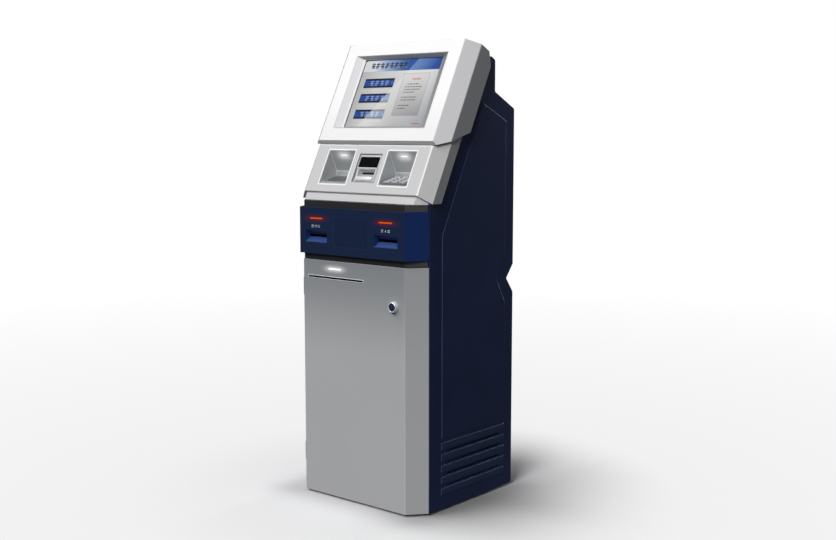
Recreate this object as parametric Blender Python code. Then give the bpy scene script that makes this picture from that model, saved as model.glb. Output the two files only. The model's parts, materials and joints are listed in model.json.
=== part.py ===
"""Free-standing self-service bank terminal with a sloped screen head, a service console,
a slot band and a locking cabinet door.

Frame: +Z up, the user stands on the -Y side, +X is to the user's right. The origin is the
centre of the footprint on the floor. Drawing dimensions are in metres and measured from the
door's front face (y = 0); everything is shifted by Y_CENTRE at the end.
On a sloped face, v runs up the slope and depth runs behind the face.
"""
import math

import bmesh
import bpy
from mathutils import Matrix, Vector

# ---------------------------------------------------------------- driving dimensions
Y_CENTRE = 0.245            # drawing y of the footprint's centre
BODY_HALF = 0.2693          # outer face of the side panels
SIDE_SHEET = 0.003          # thickness of the side panels
DEPTH = 0.502               # door face to rear face
GROUND_GAP = 0.008          # cabinet underside above the floor
GAP = 0.0004                # between neighbouring pieces
INNER_HALF = BODY_HALF - SIDE_SHEET - GAP   # clear half-width between the side panels
JAMB_Y = 0.0598             # where the chamfers meet the side panels
DOOR_TOP = 0.791
CARRIER_TOP = 0.9847

TILT = math.radians(26.66)  # the head and console lean back from the vertical
HEAD_LEN = 0.3585           # length of the head's face up the slope
HEAD_HALF, HEAD_SIDE = 0.2474, 0.2877       # half-widths at the face and at the sides
HEAD_CHAMFER, HEAD_BACK = 0.0395, 0.1130    # depths behind the face
CONSOLE_Y, CONSOLE_Z = 0.0298, 1.0132       # lower edge of the console's face
CONSOLE_HALF, CONSOLE_SIDE = 0.2434, 0.2815
CONSOLE_CHAMFER, CONSOLE_BACK = 0.0381, 0.0770

X_AXIS, Y_AXIS, Z_AXIS = Vector((1, 0, 0)), Vector((0, 1, 0)), Vector((0, 0, 1))
UPSLOPE = Vector((0, math.sin(TILT), math.cos(TILT)))
OUTWARD = Vector((0, -math.cos(TILT), math.sin(TILT)))
HEAD_EDGE = Vector((0, 0.1011, 1.1796))     # lower edge of the head's face
CONSOLE_EDGE = Vector((0, CONSOLE_Y, CONSOLE_Z))

SIDES = (("left", -1), ("right", 1))
INNER = (-INNER_HALF, INNER_HALF)
WIDE = (-0.4, 0.4)          # x range of cutters that pass through the whole width

# ---------------------------------------------------------------- scene
for old in list(bpy.data.objects):
    bpy.data.objects.remove(old, do_unlink=True)
PARTS = bpy.data.collections.new("atm_machine")
CUTTERS = bpy.data.collections.new("cutters")
for collection in (PARTS, CUTTERS):
    bpy.context.scene.collection.children.link(collection)

# ---------------------------------------------------------------- materials
GLOW_STRENGTH = 2.0


def material(name, color, roughness, metallic=0.0, glow=None):
    mat = bpy.data.materials.new(name)
    mat.use_nodes = True
    inputs = mat.node_tree.nodes["Principled BSDF"].inputs
    inputs["Base Color"].default_value = (*color, 1)
    inputs["Roughness"].default_value = roughness
    inputs["Metallic"].default_value = metallic
    if glow:
        inputs["Emission Color"].default_value = (*glow, 1)
        inputs["Emission Strength"].default_value = GLOW_STRENGTH
    return mat


WHITE = material("white_shell", color=(0.86, 0.86, 0.87), roughness=0.45)
NAVY = material("navy_panel", color=(0.012, 0.022, 0.060), roughness=0.42)
BAND = material("navy_band", color=(0.012, 0.045, 0.160), roughness=0.40)
GREY = material("grey_door", color=(0.44, 0.45, 0.46), roughness=0.45, metallic=0.2)
BLACK = material("black_trim", color=(0.015, 0.015, 0.015), roughness=0.5)
STEEL = material("zinc_steel", color=(0.50, 0.51, 0.52), roughness=0.4, metallic=0.9)
CHROME = material("chrome_lock", color=(0.80, 0.80, 0.80), roughness=0.12, metallic=1.0)
LINER = material("grey_liner", color=(0.40, 0.41, 0.42), roughness=0.5)
SCREEN = material("screen_glass", color=(0.55, 0.60, 0.70), roughness=0.08)
WINDOW = material("dark_window", color=(0.005, 0.005, 0.005), roughness=0.1)
LAMP = material("white_lens", color=(1.0, 1.0, 0.98), roughness=0.3, glow=(1, 1, 0.95))
AMBER = material("amber_lens", color=(1.0, 0.30, 0.02), roughness=0.3, glow=(1, 0.2, 0.02))
KEY = material("key_metal", color=(0.62, 0.63, 0.64), roughness=0.35, metallic=0.8)
PAPER = material("paper", color=(0.9, 0.9, 0.88), roughness=0.9)
RUBBER = material("rubber", color=(0.03, 0.03, 0.03), roughness=0.8)


# ---------------------------------------------------------------- frames and points
def frame(across, up, origin=(0, 0, 0)):
    """Matrix of the frame with axes across, up and across x up at origin."""
    matrix = Matrix((across, up, across.cross(up))).transposed().to_4x4()
    matrix.translation = Vector(origin)
    return matrix


WORLD = Matrix()
SIDE_VIEW = frame(Y_AXIS, Z_AXIS)                       # local (y, z, x)
FRONT_VIEW = frame(X_AXIS, Z_AXIS)                      # local (x, z, -y)
HEAD_FACE = frame(X_AXIS, UPSLOPE, HEAD_EDGE)           # local (x, v, outward)
CONSOLE_FACE = frame(X_AXIS, UPSLOPE, CONSOLE_EDGE)


def slope_point(edge, depth, v):
    """(y, z) of a point at depth behind the sloped face that starts at edge."""
    point = edge - OUTWARD * depth + UPSLOPE * v
    return (point.y, point.z)


def head_point(depth, v):
    return slope_point(HEAD_EDGE, depth, v)


def console_point(depth, v):
    return slope_point(CONSOLE_EDGE, depth, v)


def span(sign, near, far):
    """The x range from near to far on the side given by sign, in rising order."""
    return tuple(sorted((sign * near, sign * far)))


# ---------------------------------------------------------------- modelling helpers
def finish(obj, name, mat):
    """Names a new primitive, moves it to the parts and gives it its material."""
    obj.name = obj.data.name = name
    for collection in list(obj.users_collection):
        collection.objects.unlink(obj)
    PARTS.objects.link(obj)
    if mat:
        obj.data.materials.append(mat)
    return obj


def prism(name, outline, lo, hi, mat, place):
    """A flat outline in the first two axes of place, extruded from lo to hi on its third."""
    curve = bpy.data.curves.new(name + "_outline", "CURVE")
    curve.dimensions = "2D"
    curve.fill_mode = "BOTH"
    curve.extrude = (hi - lo) / 2
    spline = curve.splines.new("POLY")
    spline.points.add(len(outline) - 1)
    for point, (x, y) in zip(spline.points, outline):
        point.co = (x, y, 0, 1)
    spline.use_cyclic_u = True
    flat = bpy.data.objects.new(name + "_flat", curve)
    bpy.context.scene.collection.objects.link(flat)
    graph = bpy.context.evaluated_depsgraph_get()
    mesh = bpy.data.meshes.new_from_object(flat.evaluated_get(graph))

    # the curve's caps and walls come unconnected: weld them and turn the faces outward
    bm = bmesh.new()
    bm.from_mesh(mesh)
    bmesh.ops.remove_doubles(bm, verts=bm.verts, dist=1e-5)
    bmesh.ops.recalc_face_normals(bm, faces=bm.faces)
    if bm.calc_volume(signed=True) < 0:
        bmesh.ops.reverse_faces(bm, faces=bm.faces)
    bm.to_mesh(mesh)
    bm.free()
    bpy.data.objects.remove(flat)
    bpy.data.curves.remove(curve)

    obj = bpy.data.objects.new(name, mesh)
    obj.matrix_world = place @ Matrix.Translation((0, 0, (lo + hi) / 2))
    return finish(obj, name, mat)


def side_prism(name, outline, x_range, mat=None):
    """A (y, z) outline extruded along x."""
    return prism(name, outline, *x_range, mat, SIDE_VIEW)


def front_prism(name, outline, y0, y1, mat=None):
    """An (x, z) outline extruded from y0 to y1."""
    return prism(name, outline, -y1, -y0, mat, FRONT_VIEW)


def plan_prism(name, outline, z0, z1, mat=None):
    """An (x, y) outline extruded from z0 to z1."""
    return prism(name, outline, z0, z1, mat, WORLD)


def slope_prism(name, section, v_range, edge, mat=None):
    """A section in x and outward distance, extruded up the slope from edge."""
    return prism(name, section, -v_range[1], -v_range[0], mat, frame(X_AXIS, OUTWARD, edge))


def box(name, lo, hi, mat=None, place=WORLD):
    """A cube primitive between two corners given in the frame place."""
    bpy.ops.mesh.primitive_cube_add(size=1)
    obj = bpy.context.active_object
    lo, hi = Vector(lo), Vector(hi)
    for vertex in obj.data.vertices:
        vertex.co = vertex.co * (hi - lo)[0] if False else Vector(
            [c * s for c, s in zip(vertex.co, hi - lo)])
    obj.matrix_world = place @ Matrix.Translation((lo + hi) / 2)
    return finish(obj, name, mat)


def front_box(name, centre, size, y0, y1, mat=None, grow=0.0):
    """A box centred at (x, z), width and height in size, grown by grow on each side."""
    (x, z), half_w, half_h = centre, size[0] / 2 + grow, size[1] / 2 + grow
    return box(name, (x - half_w, y0, z - half_h), (x + half_w, y1, z + half_h), mat)


def face_box(name, face, window, out_range, mat=None, inset=(0, 0)):
    """A box on a sloped face over window (x0, x1, v0, v1), drawn in by inset (x, v)."""
    x0, x1, v0, v1 = window
    return box(name, (x0 + inset[0], v0 + inset[1], out_range[0]),
               (x1 - inset[0], v1 - inset[1], out_range[1]), mat, face)


def funnel(name, near_half, far_half, near, far, place, far_shift):
    """A box from near to far on the third axis of place, with its own size at the far end.

    The far end is shifted by far_shift along the second axis.
    """
    obj = box(name, (-near_half[0], -near_half[1], min(near, far)),
              (near_half[0], near_half[1], max(near, far)), place=place)
    for vertex in obj.data.vertices:
        if vertex.co.z * (far - near) > 0:
            vertex.co.x = math.copysign(far_half[0], vertex.co.x)
            vertex.co.y = math.copysign(far_half[1], vertex.co.y) + far_shift
    return obj


def rod(name, radius, lo, hi, mat=None, axis=Z_AXIS, at=(0, 0, 0), steps=24, far_radius=None):
    """A cylinder, or a cone with far_radius, from lo to hi along axis through at."""
    bpy.ops.mesh.primitive_cone_add(
        vertices=steps, radius1=radius, depth=hi - lo,
        radius2=radius if far_radius is None else far_radius)
    obj = bpy.context.active_object
    obj.rotation_mode = "QUATERNION"
    obj.rotation_quaternion = Z_AXIS.rotation_difference(axis)
    obj.location = Vector(at) + axis * ((lo + hi) / 2)
    return finish(obj, name, mat)


def combine(target, operation, tools):
    """Applies each tool to target with a boolean modifier and hides it among the cutters."""
    for tool in tools:
        for collection in list(tool.users_collection):
            collection.objects.unlink(tool)
        CUTTERS.objects.link(tool)
        tool.hide_render = True
        tool.display_type = "WIRE"
        modifier = target.modifiers.new(operation.lower(), "BOOLEAN")
        modifier.operation = operation
        modifier.object = tool
        modifier.solver = "EXACT"
    return target


def cut(target, *tools):
    return combine(target, "DIFFERENCE", tools)


def join(target, *tools):
    return combine(target, "UNION", tools)


def meet(target, *tools):
    return combine(target, "INTERSECT", tools)


def rounded(centre_y, width, height, radius, steps=4):
    """A rounded rectangle centred at (0, centre_y)."""
    points = []
    for sx, sy, start in ((1, 1, 0), (-1, 1, 90), (-1, -1, 180), (1, -1, 270)):
        for i in range(steps + 1):
            angle = math.radians(start + 90 * i / steps)
            points.append((sx * (width / 2 - radius) + radius * math.cos(angle),
                           centre_y + sy * (height / 2 - radius) + radius * math.sin(angle)))
    return points


def section(face_half, face_out, side_half, side_out, back_out):
    """A chamfered section in x and outward distance: face, two chamfers, sides, back."""
    return [(-face_half, face_out), (face_half, face_out),
            (side_half, side_out), (side_half, back_out),
            (-side_half, back_out), (-side_half, side_out)]


CORNER_DRAW = 0.41          # how far an inner corner moves along its face, per wall thickness


def inner_section(half, side, chamfer, back, wall):
    """The section inside a shell of the given wall."""
    draw = wall * CORNER_DRAW
    return section(half - draw, -wall, side - wall, -chamfer - draw, -back + wall)


# ---------------------------------------------------------------- side panels
# Each has a raised field, five ribs below it and four air slots between the ribs.
SIDE_TOP_V = 0.3625
HOOD_DEPTH = 0.1205         # front of the raised part behind the head
side_outline = [            # (y, z)
    (0.0605, GROUND_GAP), (0.4950, GROUND_GAP), (0.4998, 0.0102), (DEPTH, 0.0150),
    (DEPTH, 0.6712), (0.4669, 0.7175), (0.4663, 0.7199), (0.4669, 0.7223), (DEPTH, 0.7659),
    (DEPTH, 1.2800), (0.4990, 1.2846), (0.3975, 1.3352), (0.3950, 1.3375), (0.3943, 1.3410),
    (0.3943, head_point(0.1473, SIDE_TOP_V)[1] - 0.004), head_point(0.1440, SIDE_TOP_V),
    head_point(HOOD_DEPTH, SIDE_TOP_V), head_point(HOOD_DEPTH, 0.345),
    head_point(0.0650, 0.345),
    (head_point(0.0650, -0.1852)[0], 0.9853), (0.0605, 0.9853),
]
FIELD = [                   # (y, z), clockwise
    (0.1195, 0.2372), (0.1195, 0.8858), (0.3276, 1.3011), (0.4570, 1.2440), (0.4570, 0.8030),
    (0.4105, 0.7220), (0.4570, 0.6400), (0.4570, 0.2372),
]
FIELD_OUT, FIELD_SINK, FIELD_BEVEL = 0.0020, 0.001, 0.0030
RIB_Y0, RIB_Y1 = 0.1180, 0.4590
RIB_PITCH, RIB_TALL, RIB_TOP = 0.0373, 0.0248, 0.2254
AIR_Y0, AIR_Y1 = 0.150, 0.430
AIR_LOW, AIR_HIGH = 0.0085, 0.0045      # air slot's edges below the rib above it


def raised_pad(name, sign, outline):
    """A pad on the side panel with bevelled edges; outline is (y, z), clockwise."""
    pad = side_prism(name, outline, span(sign, BODY_HALF - FIELD_SINK, BODY_HALF + FIELD_OUT))
    count = len(outline)
    for vertex in pad.data.vertices:
        if (vertex.co.z > 0) != (sign > 0):
            continue
        here = vertex.co.xy
        i = min(range(count), key=lambda k: (Vector(outline[k]) - here).length_squared)
        before, corner, after = (Vector(outline[(i + k) % count]) for k in (-1, 0, 1))
        edge_in, edge_out = (corner - before).normalized(), (after - corner).normalized()
        normal_in = Vector((edge_in.y, -edge_in.x))
        normal_out = Vector((edge_out.y, -edge_out.x))
        mitre = (normal_in + normal_out).normalized()
        move = mitre * (FIELD_BEVEL / mitre.dot(normal_in))
        vertex.co.x += move.x
        vertex.co.y += move.y
    return pad


def side_panel(side, sign):
    panel = side_prism("side_panel_" + side, side_outline,
                       span(sign, BODY_HALF - SIDE_SHEET, BODY_HALF), NAVY)
    pads = [raised_pad("field_" + side, sign, FIELD)]
    for i in range(5):
        top = RIB_TOP - i * RIB_PITCH
        low = top - RIB_TALL
        rib = [(RIB_Y0, low), (RIB_Y0, top), (RIB_Y1, top), (RIB_Y1, low)]
        pads.append(raised_pad(f"rib_{side}_{i}", sign, rib))
    join(panel, *pads)
    x0, x1 = span(sign, 0.26, 0.30)
    for i in range(4):
        low = RIB_TOP - i * RIB_PITCH - RIB_TALL
        cut(panel, box(f"air_{side}_{i}", (x0, AIR_Y0, low - AIR_LOW),
                       (x1, AIR_Y1, low - AIR_HIGH)))


for side, sign in SIDES:
    side_panel(side, sign)

# ---------------------------------------------------------------- rear sheets
REAR_Y0, REAR_Y1 = 0.4988, 0.5008       # inner and outer face of the rear sheets
REAR_CUT = (0.490, 0.510)               # y range of the air slot cutters


def rear_sheet(name, z0, z1):
    outline = [(-INNER_HALF, z0), (INNER_HALF, z0), (INNER_HALF, z1), (-INNER_HALF, z1)]
    return front_prism(name, outline, REAR_Y0, REAR_Y1, NAVY)


rear_lower = rear_sheet("rear_lower_panel", 0.0120, 0.6690)
for i in range(6):
    z = 0.120 + 0.020 * i
    cut(rear_lower, box(f"rear_air_{i}", (-0.090, REAR_CUT[0], z), (0.090, REAR_CUT[1], z + 0.008)))

rear_upper = rear_sheet("rear_upper_panel", 0.7681, 1.2790)
for i in range(7):
    x = 0.060 + 0.012 * i
    cut(rear_upper, box(f"fan_air_{i}", (x, REAR_CUT[0], 1.090), (x + 0.006, REAR_CUT[1], 1.170)))

GRIP_CHANNEL = [            # (y, z), a sheet folded forward between the two rear panels
    (0.5004, 0.6700), (0.4642, 0.7199), (0.5004, 0.7671),
    (0.4978, 0.7671), (0.4612, 0.7199), (0.4978, 0.6700),
]
side_prism("rear_grip_channel", GRIP_CHANNEL, INNER, NAVY)

hood_z = head_point(0.1460, SIDE_TOP_V)[1]
hood_outer = [
    (REAR_Y1, 1.2800), (0.4985, 1.2835), (0.3962, 1.3345), (0.3931, 1.3390),
    (0.3931, hood_z - 0.0045), head_point(0.1430, SIDE_TOP_V - 0.001),
    head_point(HOOD_DEPTH, SIDE_TOP_V - 0.001), head_point(HOOD_DEPTH, 0.3160),
]
hood_inner = [
    head_point(0.1225, 0.3160), head_point(0.1225, SIDE_TOP_V - 0.003),
    head_point(0.1425, SIDE_TOP_V - 0.003), (0.3911, hood_z - 0.0060),
    (0.3911, 1.3378), (0.3950, 1.3327), (REAR_Y0, 1.2811), (REAR_Y0, 1.2800),
]
side_prism("rear_hood", hood_outer + hood_inner, INNER, NAVY)

# ---------------------------------------------------------------- base, feet, shelf
BASE_Y0, BASE_Y1, BASE_Z = 0.0640, 0.4980, 0.0100
BASE_LIP, BASE_LIP_TOP = 0.0025, 0.0400
FEET = {                    # (x, y)
    "front_left": (-0.215, 0.110), "front_right": (0.215, 0.110),
    "rear_left": (-0.215, 0.450), "rear_right": (0.215, 0.450),
}
base = box("base_tray", (-INNER_HALF, BASE_Y0, BASE_Z), (INNER_HALF, BASE_Y1, 0.0130), STEEL)
for where, y in (("front", BASE_Y0), ("rear", BASE_Y1 - BASE_LIP)):
    join(base, box("base_lip_" + where, (-INNER_HALF, y, BASE_Z),
                   (INNER_HALF, y + BASE_LIP, BASE_LIP_TOP)))
for i, (where, (x, y)) in enumerate(FEET.items()):
    cut(base, rod(f"foot_hole_{i}", 0.0053, 0.0, 0.05, at=(x, y, 0), steps=16))
    foot = rod("foot_" + where, 0.020, 0.0, 0.0045, RUBBER, at=(x, y, 0), far_radius=0.017)
    join(foot, rod("stud_" + where, 0.0048, 0.003, 0.036, at=(x, y, 0), steps=12))

SHELF_Y = 0.0700
shelf = box("equipment_shelf", (-INNER_HALF, SHELF_Y, 0.6560), (INNER_HALF, 0.4600, 0.6590), STEEL)
join(shelf, box("equipment_shelf_lip", (-INNER_HALF, SHELF_Y, 0.6400),
                (INNER_HALF, SHELF_Y + 0.0025, 0.6580)))


# ---------------------------------------------------------------- folded front sections
def wrap(corner_x, face_y, end_x, end_y):
    """Plan outline (x, y) with a flat front and chamfers running back to end_y."""
    return [(-end_x, end_y), (-corner_x, face_y), (corner_x, face_y), (end_x, end_y)]


def plan_shell(name, outer, inner, z0, z1, mat, flange):
    """A folded sheet with flanges at its lower and upper edges.

    outer and inner are (corner x, face y, end x); the inner one cuts past the open back.
    """
    shell = plan_prism(name, wrap(*outer, JAMB_Y), z0, z1, mat)
    return cut(shell, plan_prism(name + "_hollow", wrap(*inner, JAMB_Y + 0.010),
                                 z0 + flange, z1 - flange))


FOLD_END = 0.2690           # half-width where the band and door hollow meet the jambs

# ---------------------------------------------------------------- cabinet door
DOOR_HALF = 0.2201          # half-width of the door's front face
DOOR_WALL = 0.0020
STATEMENT_AT, STATEMENT_SIZE = (-0.07625, 0.7357), (0.2495, 0.0100)
DOOR_LAMP_AT, DOOR_LAMP_SIZE = (-0.0790, 0.7655), (0.0552, 0.0042)
LOCK_X, LOCK_Z, LOCK_OUT = 0.1758, 0.6662, 0.0120


def lock_rod(name, radius, y0, y1, steps, mat=None, far_radius=None):
    return rod(name, radius, y0, y1, mat, Y_AXIS, (LOCK_X, 0, LOCK_Z), steps, far_radius)


door = plan_shell("front_door", (DOOR_HALF, 0.0, BODY_HALF - GAP),
                  (DOOR_HALF - 0.0013, DOOR_WALL, FOLD_END - 0.0030),
                  GROUND_GAP, DOOR_TOP, GREY, DOOR_WALL)
cut(door,
    front_box("door_slot_hole", STATEMENT_AT, STATEMENT_SIZE, -0.01, 0.01, grow=0.0005),
    front_box("door_lamp_hole", DOOR_LAMP_AT, DOOR_LAMP_SIZE, -0.01, 0.01, grow=GAP),
    lock_rod("door_lock_hole", 0.0105, -0.02, 0.02, 24))

bezel = front_box("statement_slot_bezel", STATEMENT_AT, STATEMENT_SIZE, -0.0012, 0.0180, GREY)
slit_half = STATEMENT_SIZE[0] / 2 - 0.003
cut(bezel, box("statement_slit",
               (STATEMENT_AT[0] - slit_half, -0.01, STATEMENT_AT[1] - 0.0024),
               (STATEMENT_AT[0] + slit_half, 0.03, STATEMENT_AT[1] + 0.0027)))
front_box("door_lamp_lens", DOOR_LAMP_AT, DOOR_LAMP_SIZE, -0.0006, 0.0060, LAMP)

# cylinder lock on the door: fixed housing, turning plug and its cam
housing = lock_rod("lock_housing", 0.0160, -LOCK_OUT, -0.0004, 32, CHROME, far_radius=0.0180)
join(housing, lock_rod("lock_barrel", 0.0100, -0.004, 0.0240, 24))
cut(housing, lock_rod("lock_bore", 0.0128, -0.05, -0.0060, 32),
    lock_rod("lock_bore_rear", 0.0064, -0.05, 0.05, 24))
plug = lock_rod("lock_plug", 0.0124, -0.0112, -0.0064, 32, WINDOW)
join(plug, lock_rod("plug_stem", 0.0060, -0.0075, 0.0262, 16))
cut(plug, front_box("key_way", (LOCK_X, LOCK_Z), (0.0024, 0.0090), -0.02, -0.0085))
box("lock_cam", (LOCK_X - 0.0080, 0.0265, LOCK_Z - 0.0080),
    (LOCK_X + 0.0080, 0.0295, LOCK_Z + 0.0520), STEEL)

# hinges: barrels just outside the door's left rear corner, leaves on the side panel
HINGE_X, HINGE_Y, HINGE_TALL = -0.2740, 0.0560, 0.0600
for where, z in (("lower", 0.0900), ("upper", 0.6600)):
    knuckle = rod("door_hinge_" + where, 0.0036, z, z + HINGE_TALL, STEEL,
                  at=(HINGE_X, HINGE_Y, 0), steps=20)
    join(knuckle, box("hinge_leaf_" + where, (-0.2715, 0.0570, z),
                      (-0.2697, 0.0900, z + HINGE_TALL)))

# ---------------------------------------------------------------- slot band and its carrier
BAND_LOW, BAND_HIGH, BAND_OUT, BAND_HALF = 0.812, 0.9637, -0.011, 0.2258
CARRIER_HALF, CARRIER_END = 0.2190, 0.2655
FLANGE = 0.0025
SLOT_X, SLOT_Z, SLOT_SIZE = 0.1510, 0.8700, (0.1000, 0.0420)
LIGHT_X, LIGHT_Z, LIGHT_SIZE = 0.150, 0.9280, (0.0550, 0.0042)
PLATE_Z = 0.8880

# the black carrier shows as a recessed line above and below the band
carrier = plan_shell("fascia_carrier", (CARRIER_HALF, 0.0030, CARRIER_END),
                     (CARRIER_HALF - 0.0015, 0.0055, CARRIER_END - 0.0030),
                     DOOR_TOP + 0.0020, CARRIER_TOP, BLACK, FLANGE)
for i, (side, sign) in enumerate(SIDES):
    cut(carrier, front_box(f"carrier_hole_{i}", (sign * SLOT_X, SLOT_Z), SLOT_SIZE,
                           -0.02, 0.02, grow=0.001))

band = plan_shell("slot_band", (BAND_HALF, BAND_OUT, FOLD_END),
                  (BAND_HALF - 0.0016, BAND_OUT + 0.0025, FOLD_END - 0.0016),
                  BAND_LOW, BAND_HIGH, BAND, FLANGE)
# room for the carrier behind the band
cut(band, plan_prism("band_clear", wrap(CARRIER_HALF + 0.0005, 0.0026, CARRIER_END + 0.0015,
                                        JAMB_Y + 0.0010), BAND_LOW - 0.01, BAND_HIGH + 0.01))
for label, x, z, size in (("slot", SLOT_X, SLOT_Z, SLOT_SIZE),
                          ("light", LIGHT_X, LIGHT_Z, LIGHT_SIZE)):
    for i, (side, sign) in enumerate(SIDES):
        cut(band, front_box(f"band_{label}_{i}", (sign * x, z), size, -0.05, 0.002, grow=GAP))
cut(band, front_prism("band_plate_seat", rounded(PLATE_Z, 0.1428, 0.0928, 0.0084),
                      BAND_OUT - 0.01, BAND_OUT + 0.0012))
front_prism("band_centre_plate", rounded(PLATE_Z, 0.1420, 0.0920, 0.0080),
            BAND_OUT - 0.0006, BAND_OUT + 0.0009, BAND)


def slot_insert(side, sign):
    """A slot insert with a mouth that narrows to the slit, and the amber light above it."""
    x = sign * SLOT_X
    half_w, half_h = SLOT_SIZE[0] / 2, SLOT_SIZE[1] / 2
    insert = front_box("slot_insert_" + side, (x, SLOT_Z), SLOT_SIZE,
                       BAND_OUT - 0.0004, 0.0240, BAND)
    mouth = funnel("mouth_" + side, (half_w - 0.0012, half_h - 0.0012), (half_w - 0.0022, 0.0042),
                   -BAND_OUT + 0.0010, -0.0100, frame(X_AXIS, Z_AXIS, (x, 0, SLOT_Z)), -0.0002)
    cut(insert, mouth, box("slit_" + side, (x - 0.0470, -0.02, SLOT_Z - 0.0036),
                           (x + 0.0470, 0.05, SLOT_Z + 0.0032)))
    front_box("amber_light_" + side, (sign * LIGHT_X, LIGHT_Z), LIGHT_SIZE,
              BAND_OUT - 0.0005, 0.0010, AMBER)


for side, sign in SIDES:
    slot_insert(side, sign)

# ---------------------------------------------------------------- console shell
UNDER_DEPTH, UNDER_V = 0.011, -0.0087   # front of the head's lower edge plane
UNDER_SLOPE = 0.9186                    # rise of that plane in v per depth
CONSOLE_WALL = 0.0025
CONSOLE_TOP_GAP, CONSOLE_HOLLOW_GAP = 0.0025, 0.0060    # below the head's lower edge plane
CONSOLE_V = (-0.06, 0.30)               # raw length of the shell before it is trimmed
CONSOLE_FLOOR_Y, CONSOLE_FLOOR_Z = 0.0603, 0.9869
NOSE_RISE = 0.0172                      # rise of the underside line 20 mm ahead of the edge
THROUGH_HALF = BODY_HALF + 0.0025       # half-width of the openings between shell and cabinet
HOLE_OUT = (-0.02, 0.02)                # outward range of cutters through a sloped face
BAY_X0, BAY_X1, BAY_V0, BAY_V1 = 0.0705, 0.1905, 0.0280, 0.1510
READER = (-0.0512, 0.0512, 0.0365, 0.1405)      # (x0, x1, v0, v1)


def head_underside(depth):
    """v of the head's lower edge plane at depth behind the head's face."""
    return UNDER_V + (depth - UNDER_DEPTH) * UNDER_SLOPE


def console_top(depth, gap):
    """v on the console's face frame, kept gap below the head's lower edge plane."""
    point = CONSOLE_EDGE - OUTWARD * depth
    head_depth = (HEAD_EDGE - point).dot(OUTWARD)
    return head_underside(head_depth) - (point - HEAD_EDGE).dot(UPSLOPE) - gap


front_top_v = console_top(0.0, CONSOLE_TOP_GAP)
rear_depth = CONSOLE_BACK + 0.02
console = slope_prism("console_shell", section(CONSOLE_HALF, 0, CONSOLE_SIDE, -CONSOLE_CHAMFER,
                                               -CONSOLE_BACK), CONSOLE_V, CONSOLE_EDGE, WHITE)
meet(console, side_prism("console_profile", [
    console_point(-0.02, front_top_v), (CONSOLE_Y - 0.02, CONSOLE_Z + NOSE_RISE),
    (CONSOLE_Y, CONSOLE_Z), (CONSOLE_FLOOR_Y, CONSOLE_FLOOR_Z), (0.1300, CONSOLE_FLOOR_Z),
    console_point(rear_depth, console_top(rear_depth, CONSOLE_TOP_GAP)),
    console_point(0.0, front_top_v),
], WIDE))

hollow = slope_prism("console_hollow", inner_section(
    CONSOLE_HALF, CONSOLE_SIDE, CONSOLE_CHAMFER, CONSOLE_BACK, CONSOLE_WALL),
    CONSOLE_V, CONSOLE_EDGE)
floor_inside = CONSOLE_FLOOR_Z + CONSOLE_WALL
rear_depth = CONSOLE_BACK + 0.03
meet(hollow, side_prism("console_hollow_profile", [
    console_point(-0.02, console_top(-0.02, CONSOLE_HOLLOW_GAP)),
    (CONSOLE_Y - 0.02, CONSOLE_Z + NOSE_RISE + 0.0033),
    (CONSOLE_FLOOR_Y + 0.0010, floor_inside), (0.1400, floor_inside),
    console_point(rear_depth, console_top(rear_depth, CONSOLE_HOLLOW_GAP)),
], WIDE))
# opening at the back and below, between the cabinet's side panels
through_low = console_point(0.034, 0.004)
through = side_prism("console_through", [
    console_point(0.034, 0.30), through_low, (through_low[0], 0.95), (0.30, 0.95), (0.40, 1.30),
], (-THROUGH_HALF, THROUGH_HALF))
cut(console, hollow, through)
for side, sign in SIDES:
    cut(console, face_box("bay_hole_" + side, CONSOLE_FACE,
                          (*span(sign, BAY_X0, BAY_X1), BAY_V0, BAY_V1), HOLE_OUT))
cut(console, face_box("reader_hole", CONSOLE_FACE, READER, HOLE_OUT))

# skirt under the console, set back from its face
SKIRT_IN, SKIRT_SIDE_IN, SKIRT_WALL = 0.0070, 0.0160, 0.003
SKIRT_PROFILE = [           # (y, z)
    (0.0, 0.98510), (0.0660, 0.98510), (0.0660, 0.9880), (0.0608, 0.9880),
    (0.0304, 1.0142), (0.0104, 1.0313), (0.0, 1.03),
]
skirt = slope_prism("console_skirt", section(
    CONSOLE_HALF - 0.0065, -SKIRT_IN, CONSOLE_SIDE - SKIRT_SIDE_IN, -SKIRT_IN - 0.0286, -0.060),
    (-0.08, 0.05), CONSOLE_EDGE)
meet(skirt, side_prism("skirt_profile", SKIRT_PROFILE, WIDE))
cut(skirt, slope_prism("skirt_hollow", section(
    CONSOLE_HALF - 0.0065 - SKIRT_WALL, -SKIRT_IN - SKIRT_WALL,
    CONSOLE_SIDE - SKIRT_SIDE_IN - SKIRT_WALL, -SKIRT_IN - 0.0300, -0.090),
    (-0.10, 0.06), CONSOLE_EDGE))
join(console, skirt)

# ---------------------------------------------------------------- bay liners and lamps
# Each has a tilted floor, a short upright and a roof that slopes forward to the opening.
BAY_BACK, BAY_FLOOR_Z, BAY_ROOF_Z = 0.1270, 1.0600, 1.0780
BAY_WALL = 0.0020
BAY_X = (BAY_X0 + BAY_X1) / 2
floor_front = console_point(0.0, BAY_V0 + BAY_WALL)
roof_front = console_point(0.0, BAY_V1 - BAY_WALL)
bay_inner = [
    console_point(-0.02, BAY_V0 + BAY_WALL - 0.0065), floor_front, (BAY_BACK, BAY_FLOOR_Z),
    (BAY_BACK + 0.0010, BAY_ROOF_Z), roof_front, console_point(-0.02, BAY_V1 + 0.0100),
]
bay_outer = [
    console_point(0.0, BAY_V0 + GAP), (BAY_BACK + 0.0010, BAY_FLOOR_Z - 0.0022),
    (BAY_BACK + 0.0032, BAY_FLOOR_Z - 0.0018), (BAY_BACK + 0.0032, BAY_ROOF_Z + 0.0006),
    console_point(0.0, BAY_V1 - GAP),
]
roof_rear = Vector((0, BAY_BACK + 0.0010, BAY_ROOF_Z))
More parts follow.
